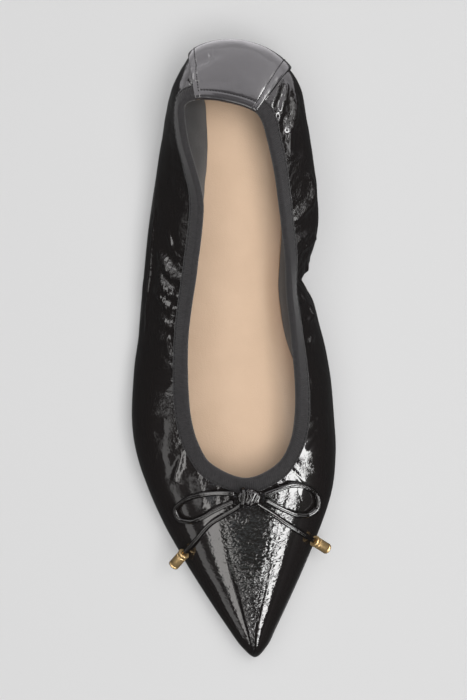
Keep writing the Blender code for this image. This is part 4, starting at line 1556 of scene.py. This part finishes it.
def build_patch(wall, material, thread):
    """The smooth heel patch with its turned edges and its seam."""
    patched = np.nonzero(wall.under_patch())[0]
    first, last = patched.min() - 0.5, patched.max() + 0.5
    spacing = 0.45
    near_edge = np.array([0.0, 0.15, 0.4, 0.8, 1.3, 1.9, 2.6])
    middle = np.arange(first + 7, last - 6.9, 1.0)
    columns = [first + near_edge / spacing, middle, last - near_edge[::-1] / spacing]
    columns = np.concatenate(columns)
    outer_depths = np.concatenate(
        [wall.depth[patched[0], 0] * np.linspace(0.985, 0.2, 34), np.linspace(7.0, 0.0, 26)]
    )
    outer_depths = np.sort(outer_depths)[::-1]
    inner_depths = np.linspace(0.3, BINDING_DEPTH + 1.5, 8)
    base = smoothed(wall.base, 10) + wall.normals * wall.dents[..., None]
    flat = wrapped(base, wall, columns, outer_depths, inner_depths, OVERLAY_GAP)
    reach = path_length(flat[:, len(outer_depths) - 1])
    edge = np.minimum(reach, reach[-1] - reach)
    turned = np.sqrt(1 - (1 - np.clip(edge / 0.5, 0, 1)) ** 2)
    seam_side = np.exp(-(((edge - PATCH_SEAM) / 0.35) ** 2))
    thickness = PATCH_THICKNESS * (0.35 + 0.45 * turned) - 0.10 * seam_side
    seam_top = np.exp(-(((outer_depths - PATCH_TOP_SEAM) / 0.4) ** 2))
    thickness = thickness[:, None] - 0.10 * seam_top * ease(1.2, 2.4, edge)[:, None]
    far = wrapped(base, wall, columns, outer_depths, inner_depths, OVERLAY_GAP + thickness)
    near = wrapped(base, wall, columns, outer_depths, inner_depths, OVERLAY_GAP - 0.1)
    shell("heel_patch_leather", far, near, False, material, "patch_leather", replaced=["heel_patch"])
    outward = sampled(wall.normals, columns)
    depths = sampled(wall.depth, columns)
    out_rows = at_depths(outward, depths, outer_depths)
    rows = len(outer_depths)
    lines = []
    for from_side in (reach, reach[-1] - reach):
        i = int(np.argmin(np.abs(from_side - PATCH_SEAM)))
        lines.append((far[i, 4 : rows - 4][::-1], out_rows[i, 4:][::-1][: rows - 8]))
    top_row = int(np.argmin(np.abs(outer_depths - PATCH_TOP_SEAM)))
    inside = np.nonzero(edge > PATCH_TOP_SEAM)[0]
    lines.append((far[inside, top_row], out_rows[inside, top_row]))
    sew("patch_seam", lines, 1.25, 0.85, 0.22, thread, "patch_leather")


def build_outsole(places, material):
    """The outsole: a sheet with rounded edges that follows the profile of heel, shank, tread and toe."""
    def ring(inset, lift):
        made = []
        for side, share in places:
            height = sole_underside(sole_loop.at(side, share)[1]) + lift
            made.append((*ring_point(side, share, drawn_in(inset)), height))
        return made

    rings = [ring(inset, 0.0) for inset in (26.0, 18.0, 10.0, 4.0)]
    low, high = SOLE_LOW_ROUND, SOLE_HIGH_ROUND
    for angle in np.radians([0, 22, 45, 67, 90]):
        rings.append(ring(low * (1 - np.sin(angle)), low * (1 - np.cos(angle))))
    rings.append(ring(0.0, 2.0))
    for angle in np.radians([0, 30, 60, 90]):
        rings.append(ring(high * (1 - np.cos(angle)), SOLE_THICKNESS - high + high * np.sin(angle)))
    rings += [ring(inset, SOLE_THICKNESS) for inset in (4.0, 18.0, 26.0)]
    stack("outsole_sheet", rings, material, "sole_rubber", sharp=50, replaced=["outsole"])


def heel_ring(inset, height):
    """The heel's outline behind its breast, as a ring at one height."""
    outline = []
    for side in ("lateral", "medial"):
        points = [ring_point(side, share, drawn_in(inset)) for share in np.linspace(0.6, 1, 161)]
        behind = np.array([point for point in points if point[1] <= HEEL_BREAST])
        spaced = along(behind, np.linspace(0, path_length(behind)[-1], 61))
        outline += list(spaced) if side == "lateral" else list(spaced[-2::-1])
    breast = (outline[0] + outline[-1]) / 2 - np.array([0.0, 3.0])
    return [(*point, height) for point in [breast, *outline]]


def build_heel(rubber, block):
    """The low heel block and the top piece under it."""
    low, high = TOP_PIECE_THICKNESS + GAP, HEEL_HEIGHT - GAP
    block_rows = [(2.0, low), (1.8, low + 0.2), (1.6, (low + high) / 2), (1.4, high - 0.2), (1.6, high)]
    block_rings = [heel_ring(*row) for row in block_rows]
    stack("heel_stack", block_rings, block, "heel_stack", sharp=40, replaced=["heel_block"])
    top = TOP_PIECE_THICKNESS
    top_rows = [(2.8, 0.0), (2.3, 0.15), (2.0, 0.6), (1.9, top - 0.2), (2.1, top)]
    top_rings = [heel_ring(*row) for row in top_rows]
    stack("top_piece", top_rings, rubber, "sole_rubber", sharp=40, replaced=["heel_top_piece"])


def main():
    build_camera()
    wall = Wall()
    drape = Drape(wall)
    thread = thread_finish()
    rubber = rubber_finish()
    build_bow(drape, cord_finish(), gold_finish())
    build_upper(wall, patent_finish())
    build_lining(wall, lining_finish())
    build_tape(wall, tape_finish(), thread)
    build_patch(wall, patch_finish(), thread)
    bottom = columns_round(BOTTOM_SIDE_COLUMNS)
    build_sock(bottom, sock_finish())
    build_outsole(bottom, rubber)
    build_heel(rubber, stack_finish())
    build_stage()


main()
